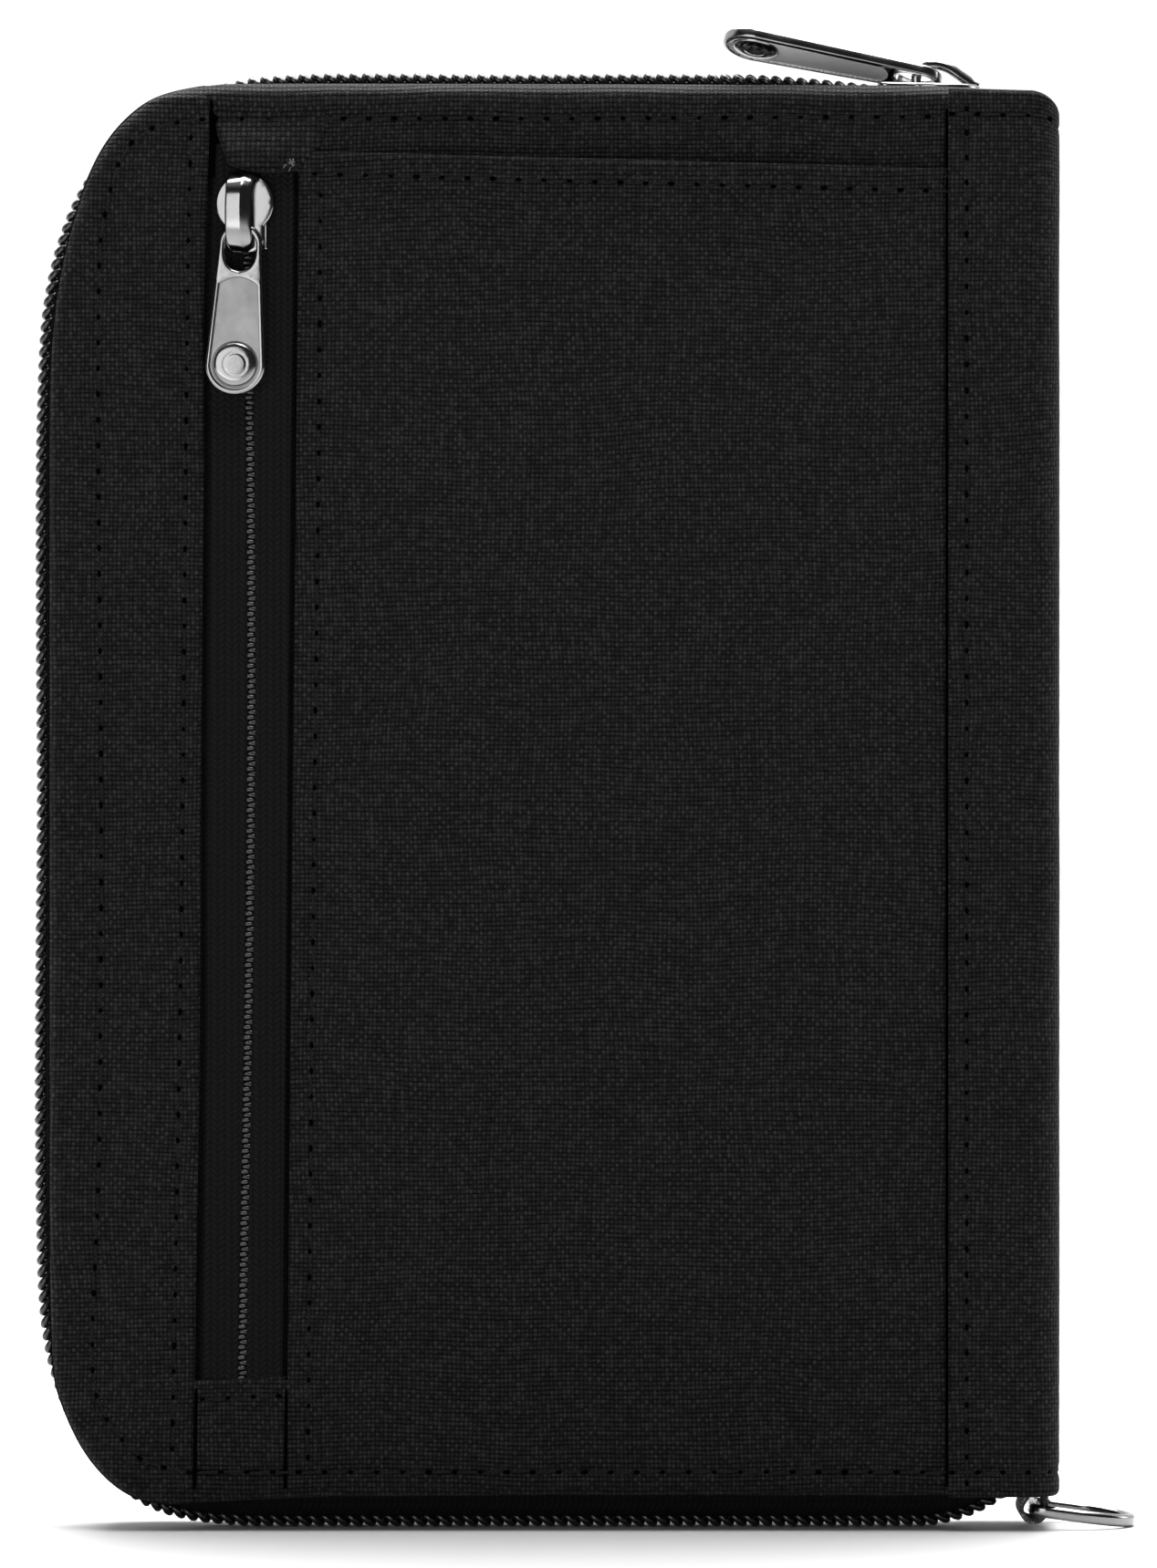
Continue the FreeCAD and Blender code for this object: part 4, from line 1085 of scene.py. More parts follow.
SPINE_RUN = (LAP_FLAT - LAP_EDGE) + SPINE_ROUND * math.pi / 2 + LAP_LEVEL - SPINE_ROUND


def bend_at_fold(piece, cover, slot):
    """Bake a piece's placement into its mesh."""
    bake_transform(piece)


def spine_back(s, z, h):
    """A point of the spine fabric's back half."""
    x, y, nx, ny = spine_curve(s)
    return np.stack([x + nx * h, y + ny * h, z], axis=-1)


def spine_front(s, z, h):
    """A point of the spine fabric's front half."""
    x, y, nx, ny = spine_curve(s)
    return np.stack([x + nx * h, -(y + ny * h), z], axis=-1)


def spine_fabric():
    """The spine fabric in two halves that meet down the middle."""
    foot, top_edge = SPINE_LOW[2], SPINE_HIGH[2] + 0.05
    for word, place in (("back", spine_back), ("front", spine_front)):
        hem = Seam([(1.85, SEAM_TOP_RIGHT + 1.2), (1.85, foot + 1.5)], depth=0.1, seed=12)
        head = Seam([(0.4, SEAM_TOP_RIGHT + 0.6), (SPINE_RUN - 0.2, SEAM_TOP_RIGHT + 0.6)],
                    depth=0.14, seed=13)
        base = Seam([(0.4, SEAM_FOOT), (SPINE_RUN - 0.2, SEAM_FOOT)], depth=0.16, seed=14)
        seams = [hem, head, base]

        def surface(x, y):
            return 0.02 + 0.14 * np.exp(-((x - 0.8) / 0.9) ** 2) + 0.05 * ripple(x, y, 12.0, 3.0)

        def sag(x):
            """The sewn head dips towards the spine's outer corner."""
            turn = np.clip((x - 8.5) / 4.8, 0, 1) ** 1.8
            return 0.6 + 0.25 * np.clip(x / 8, 0, 1) + 2.2 * turn

        def top(x, y, d):
            ends = np.minimum(y - foot, top_edge - y)
            height = surface(x, y) - roll(np.maximum(x, 0), 0.35)
            return height - roll(np.maximum(ends, 0), 0.75) - groove_of(seams, x, y)

        def under(x, y, d):
            return top(x, y, d) - 0.42

        def bent(x, y, h):
            high = np.clip((y - 135) / (top_edge - 135), 0, 1) ** 2
            return place(x, y - high * sag(x), h)

        outline = rounded([(0, foot, 0.3), (SPINE_RUN, foot, 0), (SPINE_RUN, top_edge, 0),
                           (0, top_edge, 0.3)])
        piece = relief(f"spine_fabric_{word}_half", outline, top, under, marks=marks_of(seams),
                       grid=1.3, place=bent)
        threads = stitching(f"spine_{word}_stitches", seams, [surface] * 3, bent)
        piece.data.materials.append(OUTER)
        if word == "front":
            piece.data.flip_normals()
            threads.data.flip_normals()
        for part, slot in ((piece, "outer_fabric"), (threads, "thread")):
            bend_at_fold(part, f"{word}_cover", slot)
        node = [f"spine_fabric_{word}_strip"] + (["spine_fabric"] if word == "back" else [])
        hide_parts(*node)


# ---------------------------------------------------------------- zip pocket

ZIP_LINE = -31.0
TAPE_LEVEL = 7.86                                       # face of the pocket zip's tapes


def zip_centre(y):
    """The pocket zip's line bows slightly between its slider and its foot."""
    t = np.clip((y - CHANNEL_FOOT) / (130 - CHANNEL_FOOT), 0, 1)
    return ZIP_LINE - 0.35 + 0.95 * np.sin(t * math.pi * 0.78) ** 1.2


def gap_marks(hand):
    """Lines along the gap between the tape and the panel beside it."""
    y = np.arange(15.0, 143.0, 0.8)
    side = fold_at(y) if hand < 0 else slip_fold(y)
    return np.concatenate([np.stack([side - hand * shift, y], axis=1)
                           for shift in (-0.1, 0.25, 0.45, 0.6, 0.85)])


def pocket_zip():
    """Both tapes of the pocket zip, with the coil that is sewn to the back of each."""
    for word, hand in (("left", -1), ("right", 1)):
        rows = np.arange(14.6, 143.2, 0.8)
        inner = np.stack([zip_centre(rows) + 0.36 * hand, rows], axis=1)
        outer = np.stack([np.full(len(rows), ZIP_LINE + 6.3 * hand), rows], axis=1)
        outline = np.concatenate([inner, outer[::-1]] if hand < 0 else [outer, inner[::-1]])
        outline = divide(outline[::-1] if signed_area(outline) < 0 else outline, 0.8)

        def top(x, y, d):
            gap = np.abs(x - zip_centre(y))
            ridge = 0.10 * np.exp(-((gap - 1.5) / 0.8) ** 2)
            panel = np.where(x < ZIP_LINE, x - fold_at(y), slip_fold(y) - x)
            dip = 1.05 * np.clip(1 - (panel - 0.25) / np.where(x < ZIP_LINE, 0.55, 0.35), 0, 1)
            return TAPE_LEVEL + ridge - dip - roll(np.maximum(gap - 0.36, 0), 0.22) \
                - 0.05 * np.exp(-((gap - 2.6) / 0.25) ** 2)

        piece = relief(f"pocket_tape_{word}", outline, top,
                       lambda x, y, d: top(x, y, d) - 0.32, grid=0.8, marks=gap_marks(hand),
                       rings=(0.06, 0.16, 0.32, 0.6, 1.0))
        wear(piece, TAPE, "back_cover", (f"pocket_zip_tape_{word}",))
        pitch = 1.06
        start = CHANNEL_FOOT + (0 if hand < 0 else pitch / 2)
        paths = []
        for low in np.arange(start, 137.0, pitch):
            t = np.linspace(0, 1, 9)
            reach = 1.5 - 1.75 * np.sin(t * math.pi)
            centre = zip_centre(low)
            paths.append(facing_back(centre + hand * reach, low + 0.18 * (t - 0.5),
                                     TAPE_LEVEL - 0.42 + 0.16 * np.sin(t * math.pi)))
        coil = tubes(f"pocket_coil_{word}", paths, 0.21, sides=8)
        wear(coil, COIL, "back_cover", (f"pocket_zip_coil_{word}",))


def signed_area(loop):
    """Area of a closed outline, positive when it runs anticlockwise."""
    x, y = loop[:, 0], loop[:, 1]
    return 0.5 * np.sum(x * np.roll(y, -1) - y * np.roll(x, -1))


def zip_ends():
    """Patch over the zip's foot, the tucked fabric at its head and the bar tack beside it."""
    patch = rounded([(-36.9, COVER_FOOT - 0.03, 0), (-26.0, COVER_FOOT - 0.03, 0),
                     (-26.0, 15.9, 0.2), (-36.9, 15.5, 0.2)])
    seam = Seam([(-35.4, 13.6), (-27.6, 13.9)], depth=0.1, seed=21)
    foot_seam = Seam([(-35.8, SEAM_FOOT), (-27.0, SEAM_FOOT)], depth=0.12, seed=22)
    head_seam = Seam([(-34.3, SEAM_TOP_LEFT), (-22.5, 145.0)], seed=23)

    def patch_surface(x, y):
        return 7.98 + 0.24 * np.exp(-(np.maximum(15.7 - y, 0) / 1.2) ** 2) + 0 * x

    def patch_top(x, y, d):
        height = patch_surface(x, y) - roll(np.maximum(15.7 - y, 0), 0.32)
        return height - roll(edge_gap(x, y), EDGE_ROLL + 0.1) - groove_of([seam, foot_seam], x, y)

    piece = relief("pocket_zip_foot_patch", patch, patch_top,
                   lambda x, y, d: np.minimum(7.55, patch_top(x, y, d) - 0.3),
                   marks=marks_of([seam, foot_seam]), grid=1.2)
    wear(piece, OUTER, "back_cover", ("pocket_zip_end_patch",))
    # Painted shadow: black tubes under the folded edges beside the foot patch.
    y = np.linspace(4.4, 15.6, 12)
    painted_fold_shadow("strip_painted_shadow_foot", fold_at(y) + 0.16, y, np.full(12, 7.92))
    y = np.linspace(4.4, 15.8, 12)
    painted_fold_shadow("slip_painted_shadow_foot", slip_fold(y) - 0.12, y, np.full(12, 7.9))
    sew("patch_stitches", [seam, foot_seam], [patch_surface] * 2, facing_back, "back_cover")

    high = lambda x: np.interp(x, [-40, -38.5, -34.4, -30], [147.3, 147.8, 148.55, 148.7]) + 0.03
    tuck = rounded([(-34.5, 145.4, 0.3), (-33.7, 142.8, 0.5), (-32.7, 140.2, 0.7),
                    (-30.6, 139.5, 0.6), (-27.4, 139.4, 0.6), (-24.2, 140.6, 0.4),
                    (-22.6, 143.5, 0.4), (-22.0, high(-22.0), 0), (-34.6, high(-34.6), 0)], 0.4)

    def tuck_top(x, y, d):
        lift = np.clip((145.0 - y) / 4.5, 0, 1)
        bulge = 1.5 * np.sin(lift * math.pi * 0.56) ** 1.2
        crease = 0.16 * np.exp(-(((x + 33.2) * 0.85 + (y - 142.5) * 0.35) / 0.35) ** 2) * lift
        drape = 0.13 * ripple(x, y, 2.6, 8.0) * np.clip(lift * 2, 0, 1)
        side = np.clip((-22.2 - x) / 6.0, 0, 1)
        height = 7.92 + bulge * side - crease + drape * side
        height -= roll(np.maximum(d, 0), 0.9) * (y < 145.5)
        height -= roll(edge_gap(x, y), EDGE_ROLL + 0.1) + lean_back(y)
        return height - groove_of([head_seam], x, y)

    piece = relief("pocket_zip_head_tuck", tuck, tuck_top,
                   lambda x, y, d: np.minimum(7.5, tuck_top(x, y, d) - 0.3), grid=0.5,
                   rings=(0.05, 0.12, 0.22, 0.36, 0.55), marks=head_seam.marks(), weave=0.86)
    wear(piece, OUTER, "back_cover", ("pocket_zip_top_tuck",))

    # Painted shadow: a black sheet fills the deep fold beside the tuck, seen only between the
    # strip's and tuck's edges.
    gap = rounded([(-36.2, 139.0, 0.3), (-31.5, 139.0, 0.3), (-33.2, 144.0, 0.3),
                   (-34.6, 147.6, 0.3), (-36.2, 147.2, 0.3)], 0.4)
    deep = relief("tuck_painted_shadow", gap, lambda x, y, d: 7.72 - 0.9 * lean_back(y) + 0 * x,
                  level(6.2), grid=0.6, rings=(0.1, 0.3))
    wear(deep, PAINTED_SHADE, "back_cover")

    # Painted shadow: a black tube under the strip's folded edge at the head.
    y = np.linspace(144.2, 148.25, 12)
    x = fold_at(y) + 0.12
    painted_fold_shadow("strip_painted_shadow_head", x, y,
             7.9 - roll(edge_gap(x, y), EDGE_ROLL + 0.1) - lean_back(y))

    rng = np.random.default_rng(31)
    paths = []
    for k in range(6):
        y = 139.6 + 0.16 * k + rng.normal(0, 0.05)
        x = -26.9 + rng.normal(0, 0.08) + np.linspace(0, 1.5, 7)
        arch = np.sin(np.linspace(0, math.pi, 7))
        paths.append(facing_back(x, np.full(7, y) + arch * rng.normal(0, 0.1), 8.35 + 0.35 * arch))
    bar = tubes("pocket_tack_thread", paths, 0.11, sides=6)
    bar.data.materials.append(THREAD)
    paths = []
    for k in range(7):
        t = np.linspace(0, 1, 8)
        angle = rng.uniform(0, 2 * math.pi)
        curl = rng.uniform(-1.5, 1.5)
        start = rng.normal(0, 0.25, 2)
        paths.append(facing_back(-26.2 + start[0] + 0.5 * t * np.cos(angle + curl * t),
                                 140.3 + start[1] + 0.5 * t * np.sin(angle + curl * t),
                                 8.75 + 0.5 * np.sin(t * 2.4)))
    ends = tubes("frayed_ends", paths, 0.07, sides=6)
    ends.data.materials.append(FRAYED)
    tack = join("pocket_tack_thread", [bar, ends])
    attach(tack, "back_cover")
    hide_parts("pocket_bar_tack")


# ---------------------------------------------------------------- zip around the wallet

CHAIN_PITCH = 1.32

# The zip's outer line, from its head at the right over the left side to its foot.
CHAIN_TURNS = [
    (38, 148.35), (34, 148.85), (28, 149.5), (20, 150.0), (8, 150.1), (-5, 150.05), (-18, 150.15),
    (-24, 150.1), (-28.3, 149.85), (-31.4, 149.5), (-35, 148.6), (-38, 147.6), (-41, 146.1),
    (-43.8, 144.0), (-46.1, 141.5), (-47.9, 138.9), (-49.3, 136.3), (-50.35, 133.6),
    (-51.2, 130.8), (-51.9, 127.6), (-52.4, 123.8), (-52.7, 118), (-52.9, 109), (-52.9, 92),
    (-52.8, 75), (-52.95, 58), (-53.0, 42), (-52.85, 30), (-52.6, 23), (-52.05, 18.6),
    (-51.15, 15.0), (-49.8, 11.4), (-48.0, 8.1), (-45.9, 5.4), (-43.2, 3.1), (-40.2, 1.5),
    (-36.5, 0.55), (-32, 0.12), (-26, 0.02), (0, 0.02), (28, 0.02), (37, 0.05)]


def chain_line(top_x, end_x, step=0.25):
    """Points and outward directions of the zip's outer line, from its head to its foot."""
    head = [(top_x, CHAIN_TURNS[0][1] - (top_x - CHAIN_TURNS[0][0]) * 0.06)]
    bend, radius = np.array([37.7, 16.7]), 16.7
    tail = [tuple(bend + radius * np.array([math.sin(a), -math.cos(a)]))
            for a in np.linspace(0.1, math.asin((end_x - bend[0]) / radius), 4)]
    line = spline(head + CHAIN_TURNS + tail, step)
    edge = directions(line)
    return line, np.stack([edge[:, 1], -edge[:, 0]], axis=1)


def zip_around():
    """The main zip round three sides: each cover carries one wound coil and its tape."""
    line, out = chain_line(COIL_END_X, CHAIN_END_X)
    run = run_of(line)
    wire = 0.4
    for word, side in (("back", -1), ("front", 1)):
        body = f"{word}_cover"
        turns = int(run[-1] / CHAIN_PITCH) - 1
        phase = np.arange(0, turns, 1 / 14) + (0.5 if side > 0 else 0.0)
        angle = (phase % 1) * 2 * math.pi
        lead = np.floor(phase) + 0.5 - 0.5 * np.cos(np.clip((phase % 1) * 2 - 0.5, 0, 1) * math.pi)
        at = run[-1] - (lead + 0.2) * CHAIN_PITCH
        across = 1.36 - 1.22 * np.cos(angle) - 0.12 * np.cos(2 * angle)
        depth = -0.84 + 0.47 * np.sin(angle) + 0.05 * np.sin(3 * angle)
        px, pz = (np.interp(at, run, line[:, k]) for k in (0, 1))
        nx, nz = (np.interp(at, run, out[:, k]) for k in (0, 1))
        path = np.stack([px + nx * depth, side * (0.06 + across), pz + nz * depth], axis=1)
        coil = tubes(f"{word}_coil_wire", [path], wire, sides=8)
        if word == "front":
            coil.data.flip_normals()
        wear(coil, COIL, body, (f"{word}_zip_coil",))
        zip_tape(word, side, body)


def zip_tape(word, side, body):
    """Tape from inside the cover's edge out to the teeth, bowed where the cover stands back."""
    line, out = chain_line(49.0, CHAIN_END_X, step=0.6)
    run = run_of(line)
    rim = line_distance(line, OUTER_EDGE, True)
    within = inside(line, OUTER_EDGE)
    stand = np.where(within, -rim, rim)
    sections = [(0.45, 1.0), (1.5, 0.92), (2.4, 1.05), (2.95, 1.5), (3.5, 1.62)]
    sections += [(4.2, None), (4.8, None), (5.4, None)]
    shares = {4.2: 0.3, 4.8: 0.75, 5.4: 1.0}
    rows, uvs = [], []
    outer_side = []
    for y, depth in sections:
        if depth is None:
            deep = 1.66 + (np.maximum(stand + 0.9, 2.0) - 1.66) * shares[y]
        else:
            deep = np.full(len(line), depth)
        outer_side.append((y, deep))
    loops = outer_side + [(y, deep + 0.42) for y, deep in outer_side[::-1]]
    for y, deep in loops:
        rows.append(np.stack([line[:, 0] - out[:, 0] * deep, np.full(len(line), side * y),
                              line[:, 1] - out[:, 1] * deep], axis=1))
        uvs.append(np.stack([np.full(len(line), y), run], axis=1))
    sides, count = len(rows), len(line)
    verts = np.stack(rows, axis=1).reshape(-1, 3)
    uv = np.stack(uvs, axis=1).reshape(-1, 2)
    faces = []
    for i in range(count - 1):
        for k in range(sides):
            m = (k + 1) % sides
            face = (i * sides + k, (i + 1) * sides + k, (i + 1) * sides + m, i * sides + m)
            faces.append(face if side < 0 else face[::-1])
    cap = tuple(range(sides))
    end = tuple((count - 1) * sides + k for k in range(sides))
    faces += [cap[::-1], end] if side > 0 else [cap, end[::-1]]
    tape = to_mesh(f"{word}_tape_cloth", verts, faces, uv)
    wear(tape, TAPE, body, (f"{word}_zip_tape",))


# ---------------------------------------------------------------- pulls and sliders

def two_metals(piece, satin, finish):
    """Give the faces whose centres pass a test another finish."""
    mesh = piece.data
    centres = np.zeros(len(mesh.polygons) * 3)
    mesh.polygons.foreach_get("center", centres)
    chosen = satin(centres.reshape(-1, 3) / MM)
    mesh.polygons.foreach_set("material_index", chosen.astype(np.int32))
    piece.data.materials.append(finish)


def circle_loop(centre, radius, count=48):
    """A circle as a closed outline."""
    angles = np.arange(count) * 2 * math.pi / count
    return np.array(centre) + radius * np.stack([np.cos(angles), np.sin(angles)], axis=1)


def flat(x, y, h):
    """A plate in its own frame: x across, y along, h out of its face."""
    return np.stack([x, y, h], axis=-1)


class Tag:
    """A teardrop zip pull: a round bar at the top, an open eye, a recessed face and a boss.

    small and big are the radii of its two ends, eye the height of the opening's foot.
    """

    def __init__(self, length, small, big, thick, rim, eye, boss):
        self.small, self.big, self.thick, self.rim = small, big, thick, rim
        self.eye, self.boss = eye, boss
        self.bar = 0.36
        self.top = self.bar - small
        self.foot = self.bar - length + big

    def outline(self, shrink=0.0, step=0.16):
        """Two arcs and the straight sides between them; shrink moves them in."""
        small, big = self.small - shrink, self.big - shrink
        top, foot = self.top, self.foot
        lean = math.asin((big - small) / (top - foot))
        upper = [(small * math.cos(a), top + small * math.sin(a))
                 for a in np.linspace(-lean, math.pi + lean, 40)]
        lower = [(big * math.cos(a), foot + big * math.sin(a))
                 for a in np.linspace(math.pi + lean, 2 * math.pi - lean, 48)]
        return divide(np.array(upper + lower), step)

    def opening(self, step=0.12):
        """The eye: round at the top with the tag, U-shaped at the bottom."""
        wide = self.small - self.rim * 1.15
        low = self.eye
        upper = [(wide * math.cos(a), self.top + (self.small - self.bar * 2) * math.sin(a))
                 for a in np.linspace(0, math.pi, 28)]
        t = np.linspace(0, 1, 18)[1:]
        drop = self.top - low
        left = [(-wide * (1 - u ** 3.2) ** 0.5, self.top - drop * u) for u in t]
        right = [(-x, y) for x, y in left[:-1][::-1]]
        return divide(np.array(upper + left + right), step)

    def recess(self):
        """Boundary of the sunken face: arched at the top, following the rim elsewhere."""
        loop = self.outline(self.rim)
        arch = self.eye - 0.62 - 0.95 * (loop[:, 0] / self.small) ** 2
        loop[:, 1] = np.minimum(loop[:, 1], arch)
        return divide(loop, 0.16)

    def build(self, name):
        """The pull's mesh, and the test for the faces of its sunken field."""
        edge, hole, sunk = self.outline(), self.opening(), self.recess()
        half, depth, moat_width = self.thick / 2, 0.2, 0.15
        boss_at = np.array([0.0, self.foot])
        lines = [inward(sunk, shift) for shift in (-0.09, -0.03, 0.05, 0.12)]
        for radius in (0.3, 0.6, 0.9, 1.0, 1.1, 1.25, 1.6):
            lines.append(circle_loop(boss_at, radius, 36))
        for shift in (-0.35, -0.22, -0.1, -0.03, 0.04, 0.11, 0.19, 0.26):
            lines.append(circle_loop(boss_at, self.boss + shift, 72))

        def face(x, y, d):
            points = np.stack([x, y], axis=1)
            within = inside(points, sunk)
            gap = line_distance(points, sunk, True)
            signed = np.where(within, gap, -gap)
            level_of = half - depth * np.clip((signed + 0.03) / 0.08, 0, 1)
            lip = 0.05 * np.exp(-((signed + 0.2) / 0.12) ** 2)
            rho = np.hypot(x - boss_at[0], y - boss_at[1])
            dome = half - depth + 0.1 + 0.32 * np.maximum(1 - (rho / self.boss) ** 4, 0) ** 0.5
            dome -= 0.07 * np.exp(-((rho - 1.15) / 0.08) ** 2)
            moat = half - depth - 0.12
            in_moat = (rho >= self.boss) & (rho < self.boss + moat_width)
            share = np.clip((rho - self.boss) / 0.05, 0, 1)
            height = np.where(rho < self.boss, dome, level_of + lip)
            height = np.where(in_moat, height + (moat - height) * share, height)
            return height - roll(d, min(0.3, self.rim * 0.55))

        piece = relief(name, edge, face, lambda x, y, d: -face(x, y, d), holes=[hole],
                       marks=np.concatenate(lines), grid=0.3, place=flat,
                       rings=(0.02, 0.07, 0.14, 0.22, 0.3), sharp=38)

        def satin(centres):
            points = centres[:, :2]
            rho = np.hypot(points[:, 0] - boss_at[0], points[:, 1] - boss_at[1])
            return inside(points, sunk) & (rho > self.boss + 0.05)

        return piece, satin


def arch_bar(name, line, wide, thick, crown=0.25, parts=7, narrow=None, ridge=None):
    """A strap of metal bent along a line of (along, out), with a crowned outer face.

    narrow scales its width along the line; ridge is how far a fall-off starts from its middle.
    """
    line = spline(line, 0.12)
    path = np.stack([np.zeros(len(line)), line[:, 0], line[:, 1]], axis=1)
    tangent = np.gradient(path, axis=0)
    tangent /= np.linalg.norm(tangent, axis=1)[:, None]
    up = np.cross((1.0, 0, 0), tangent)
    if up[len(up) // 2, 2] < 0:
        up = -up
    section = box_section(wide, thick, thick * 0.42, parts)
    if ridge is not None:
        section = divide(section, 0.13)
    rise = section[:, 1] > 0                    # the outer half of the section
    section[rise, 1] += crown * (1 - (2 * section[rise, 0] / wide) ** 2)
    if ridge is not None:
        beyond = np.maximum(-section[:, 0] - ridge, 0) / (wide / 2 - ridge)
        before = np.maximum(ridge + section[:, 0], 0) / (wide / 2 + ridge)
        section[:, 1] -= 0.46 * beyond ** 1.1 + 0.16 * before
    scale = np.ones((len(path), 2))
    if narrow is not None:
        scale[:, 0] = np.interp(np.linspace(0, 1, len(path)), *narrow)
    return sweep(name, path, section, up=up, scale=scale)


def plate_shape(radius, centre, tail_half, tail_foot, r=0.7, step=0.15):
    """A disc running into a narrower tail with rounded corners."""
    start = -math.acos(np.clip(tail_half / radius, -1, 1))
    disc = [(radius * math.cos(a), centre + radius * math.sin(a))
            for a in np.linspace(start, math.pi - start, 64)]
    foot = []
    for cx, a0 in ((-tail_half + r, math.pi), (tail_half - r, 1.5 * math.pi)):
        foot += [(cx + r * math.cos(a), tail_foot + r + r * math.sin(a))
                 for a in np.linspace(a0, a0 + math.pi / 2, 8)]
    return divide(np.array(disc + foot), step)


def slab(name, outline, foot, top, edge=0.2, crown=0.0, grid=0.45):
    """A plate with rounded edges, a little domed."""
    reach = np.abs(outline[:, 0]).max()

    def face(x, y, d):
        bulge = crown * np.maximum(1 - (x / reach) ** 2, 0)
        return top + bulge - roll(d, edge)

    def back(x, y, d):
        return foot + roll(d, edge)

    return relief(name, outline, face, back, grid=grid, place=flat,
                  rings=(0.02, 0.07, 0.14, 0.22), sharp=40)


def block(name, centres, half, low, high, radius, foot, top, edge, step):
    """An upright bar or wall; centres are its x at its low and at its high end."""
    a, b = centres
    outline = rounded([(a - half, low, radius), (a + half, low, radius),
                       (b + half, high, radius), (b - half, high, radius)], step)
    return slab(name, outline, foot, top, edge=edge)


def lean_matrix(amount):
    """A shear that moves a part sideways as it stands further out."""
    matrix = Matrix.Identity(4)
    matrix[0][2] = amount
    return matrix


def pocket_slider():
    """Pocket zip slider with its bridge; local y runs up the zip and h out of the wallet."""
    centre_z, plate = 135.2, 7.9
    outer = slab("slider_disc", plate_shape(3.05, 1.05, 2.05, -4.05, 1.5), 0.0, 0.62, edge=0.24,
                 crown=0.12)
    under = slab("slider_under", plate_shape(3.0, 1.05, 2.05, -4.0, 1.5), -1.75, -1.38)
    post = block("slider_post", (0, 0), 0.36, 2.2, 3.4, 0.1, -1.5, 0.2, 0.05, 0.15)
    walls = [block(f"slider_wall_{hand}", (hand * 2.12, hand * 2.12), 0.18, -3.7, 1.2, 0.15,
                   -0.8, 0.25, 0.1, 0.2) for hand in (-1, 1)]
    bridge = arch_bar("slider_bridge", [(3.95, 0.25), (3.75, 1.1), (3.2, 1.95), (2.3, 2.45),
                                        (0.8, 2.66), (-0.8, 2.62), (-2.2, 2.38), (-3.1, 1.9),
                                        (-3.55, 1.15), (-3.65, 0.4)], 2.6, 0.62, crown=0.06,
                      narrow=([0, 0.12, 0.3, 0.8, 1], [1.45, 1.12, 0.98, 1.0, 0.94]),
                      parts=15, ridge=0.4)
    bridge.data.transform(lean_matrix(-0.16))
    piece = join("pocket_slider_metal", [outer, under, post, bridge] + walls)
    upright = Matrix.Translation((-0.031, -plate * MM, centre_z * MM)) \
        @ Matrix.Rotation(math.pi / 2, 4, "X")
    at = Vector((-0.031, -plate * MM, 0))
    turned = math.radians(-8)
    yaw = Matrix.Translation(at) @ Matrix.Rotation(turned, 4, "Z") @ Matrix.Translation(-at)
    settle(piece, upright)
    settle(piece, yaw)
    wear(piece, METAL, "pocket_slider", ("pocket_slider",))


def pocket_puller():
    """The pocket zip's pull, hanging a little aslant from its slider's bridge."""
    tag = Tag(17.6, 2.2, 3.12, 1.0, 0.52, -4.55, 2.2)
    piece, satin = tag.build("pocket_puller_metal")
    wear(piece, METAL, "pocket_puller", ("pocket_puller",))
    two_metals(piece, satin, SATIN)
    aslant, turned = math.radians(-2.6), math.radians(-3.5)
    hang = Matrix.Translation((-0.03135, -0.00933, 0.1338)) @ Matrix.Rotation(math.pi / 2, 4, "X") \
        @ Matrix.Rotation(aslant, 4, "Z") @ Matrix.Rotation(turned, 4, "Y")
    settle(piece, hang)


def main_slider_frame():
    """Where the main slider sits on the top run, in metres."""
    return Matrix.Translation((0.03935, 0, 0.14819)) @ Matrix.Rotation(TOP_SLOPE, 4, "Y")


def main_slider():
    """Main slider in its own frame: local y runs towards the zip's open end, h outwards."""
    shape = plate_shape(4.3, 1.0, 3.6, -5.35, 0.9, 0.25)
    top = slab("main_top", shape, 0.15, 0.72, edge=0.26, crown=0.15, grid=0.6)
    under = slab("main_under", shape, -3.05, -2.45, edge=0.26, grid=0.6)
    post = block("main_post", (0, 0), 0.4, 2.6, 4.5, 0.2, -2.5, 0.25, 0.08, 0.2)
    walls = [block(f"main_wall_{hand}", (hand * 3.5, hand * 3.75), 0.32, -5.2, 2.6, 0.2,
                   -1.0, 0.3, 0.12, 0.25) for hand in (-1, 1)]
    bridge = arch_bar("main_bridge", [(-1.15, 0.6), (-1.25, 1.5), (-0.95, 2.3), (-0.2, 2.78),
                                      (0.8, 2.86), (2.0, 2.5), (3.2, 1.75), (4.3, 1.05),
                                      (5.1, 0.72)], 1.7, 0.9, crown=0.2)
    piece = join("main_slider_metal", [top, under, post, bridge] + walls)
    along = Matrix.Rotation(-math.pi / 2, 4, "Z")
    piece.data.transform(along)
    settle(piece, main_slider_frame())
    wear(piece, METAL, "main_slider", ("main_slider",))


def main_puller():
    """The main zip's pull, lying towards the left and rolled over to the back."""
    tag = Tag(22.9, 2.45, 3.35, 1.15, 0.56, -4.6, 2.35)
    piece, satin = tag.build("main_puller_metal")
    wear(piece, METAL, "main_puller", ("main_puller",))
    # Its sunken field gets the near-white painted reflection.
    two_metals(piece, satin, SATIN_PAINTED_BRIGHT)
    pivot = main_slider_frame() @ Vector((0.00095, 0, 0.00125))
    slant, roll_over = math.radians(11.2), math.radians(-17)
    lie = Matrix.Translation(pivot) @ Matrix.Rotation(slant, 4, "Y") \
        @ Matrix.Rotation(roll_over, 4, "X") @ Matrix.Rotation(-math.pi / 2, 4, "Z")
    settle(piece, lie)


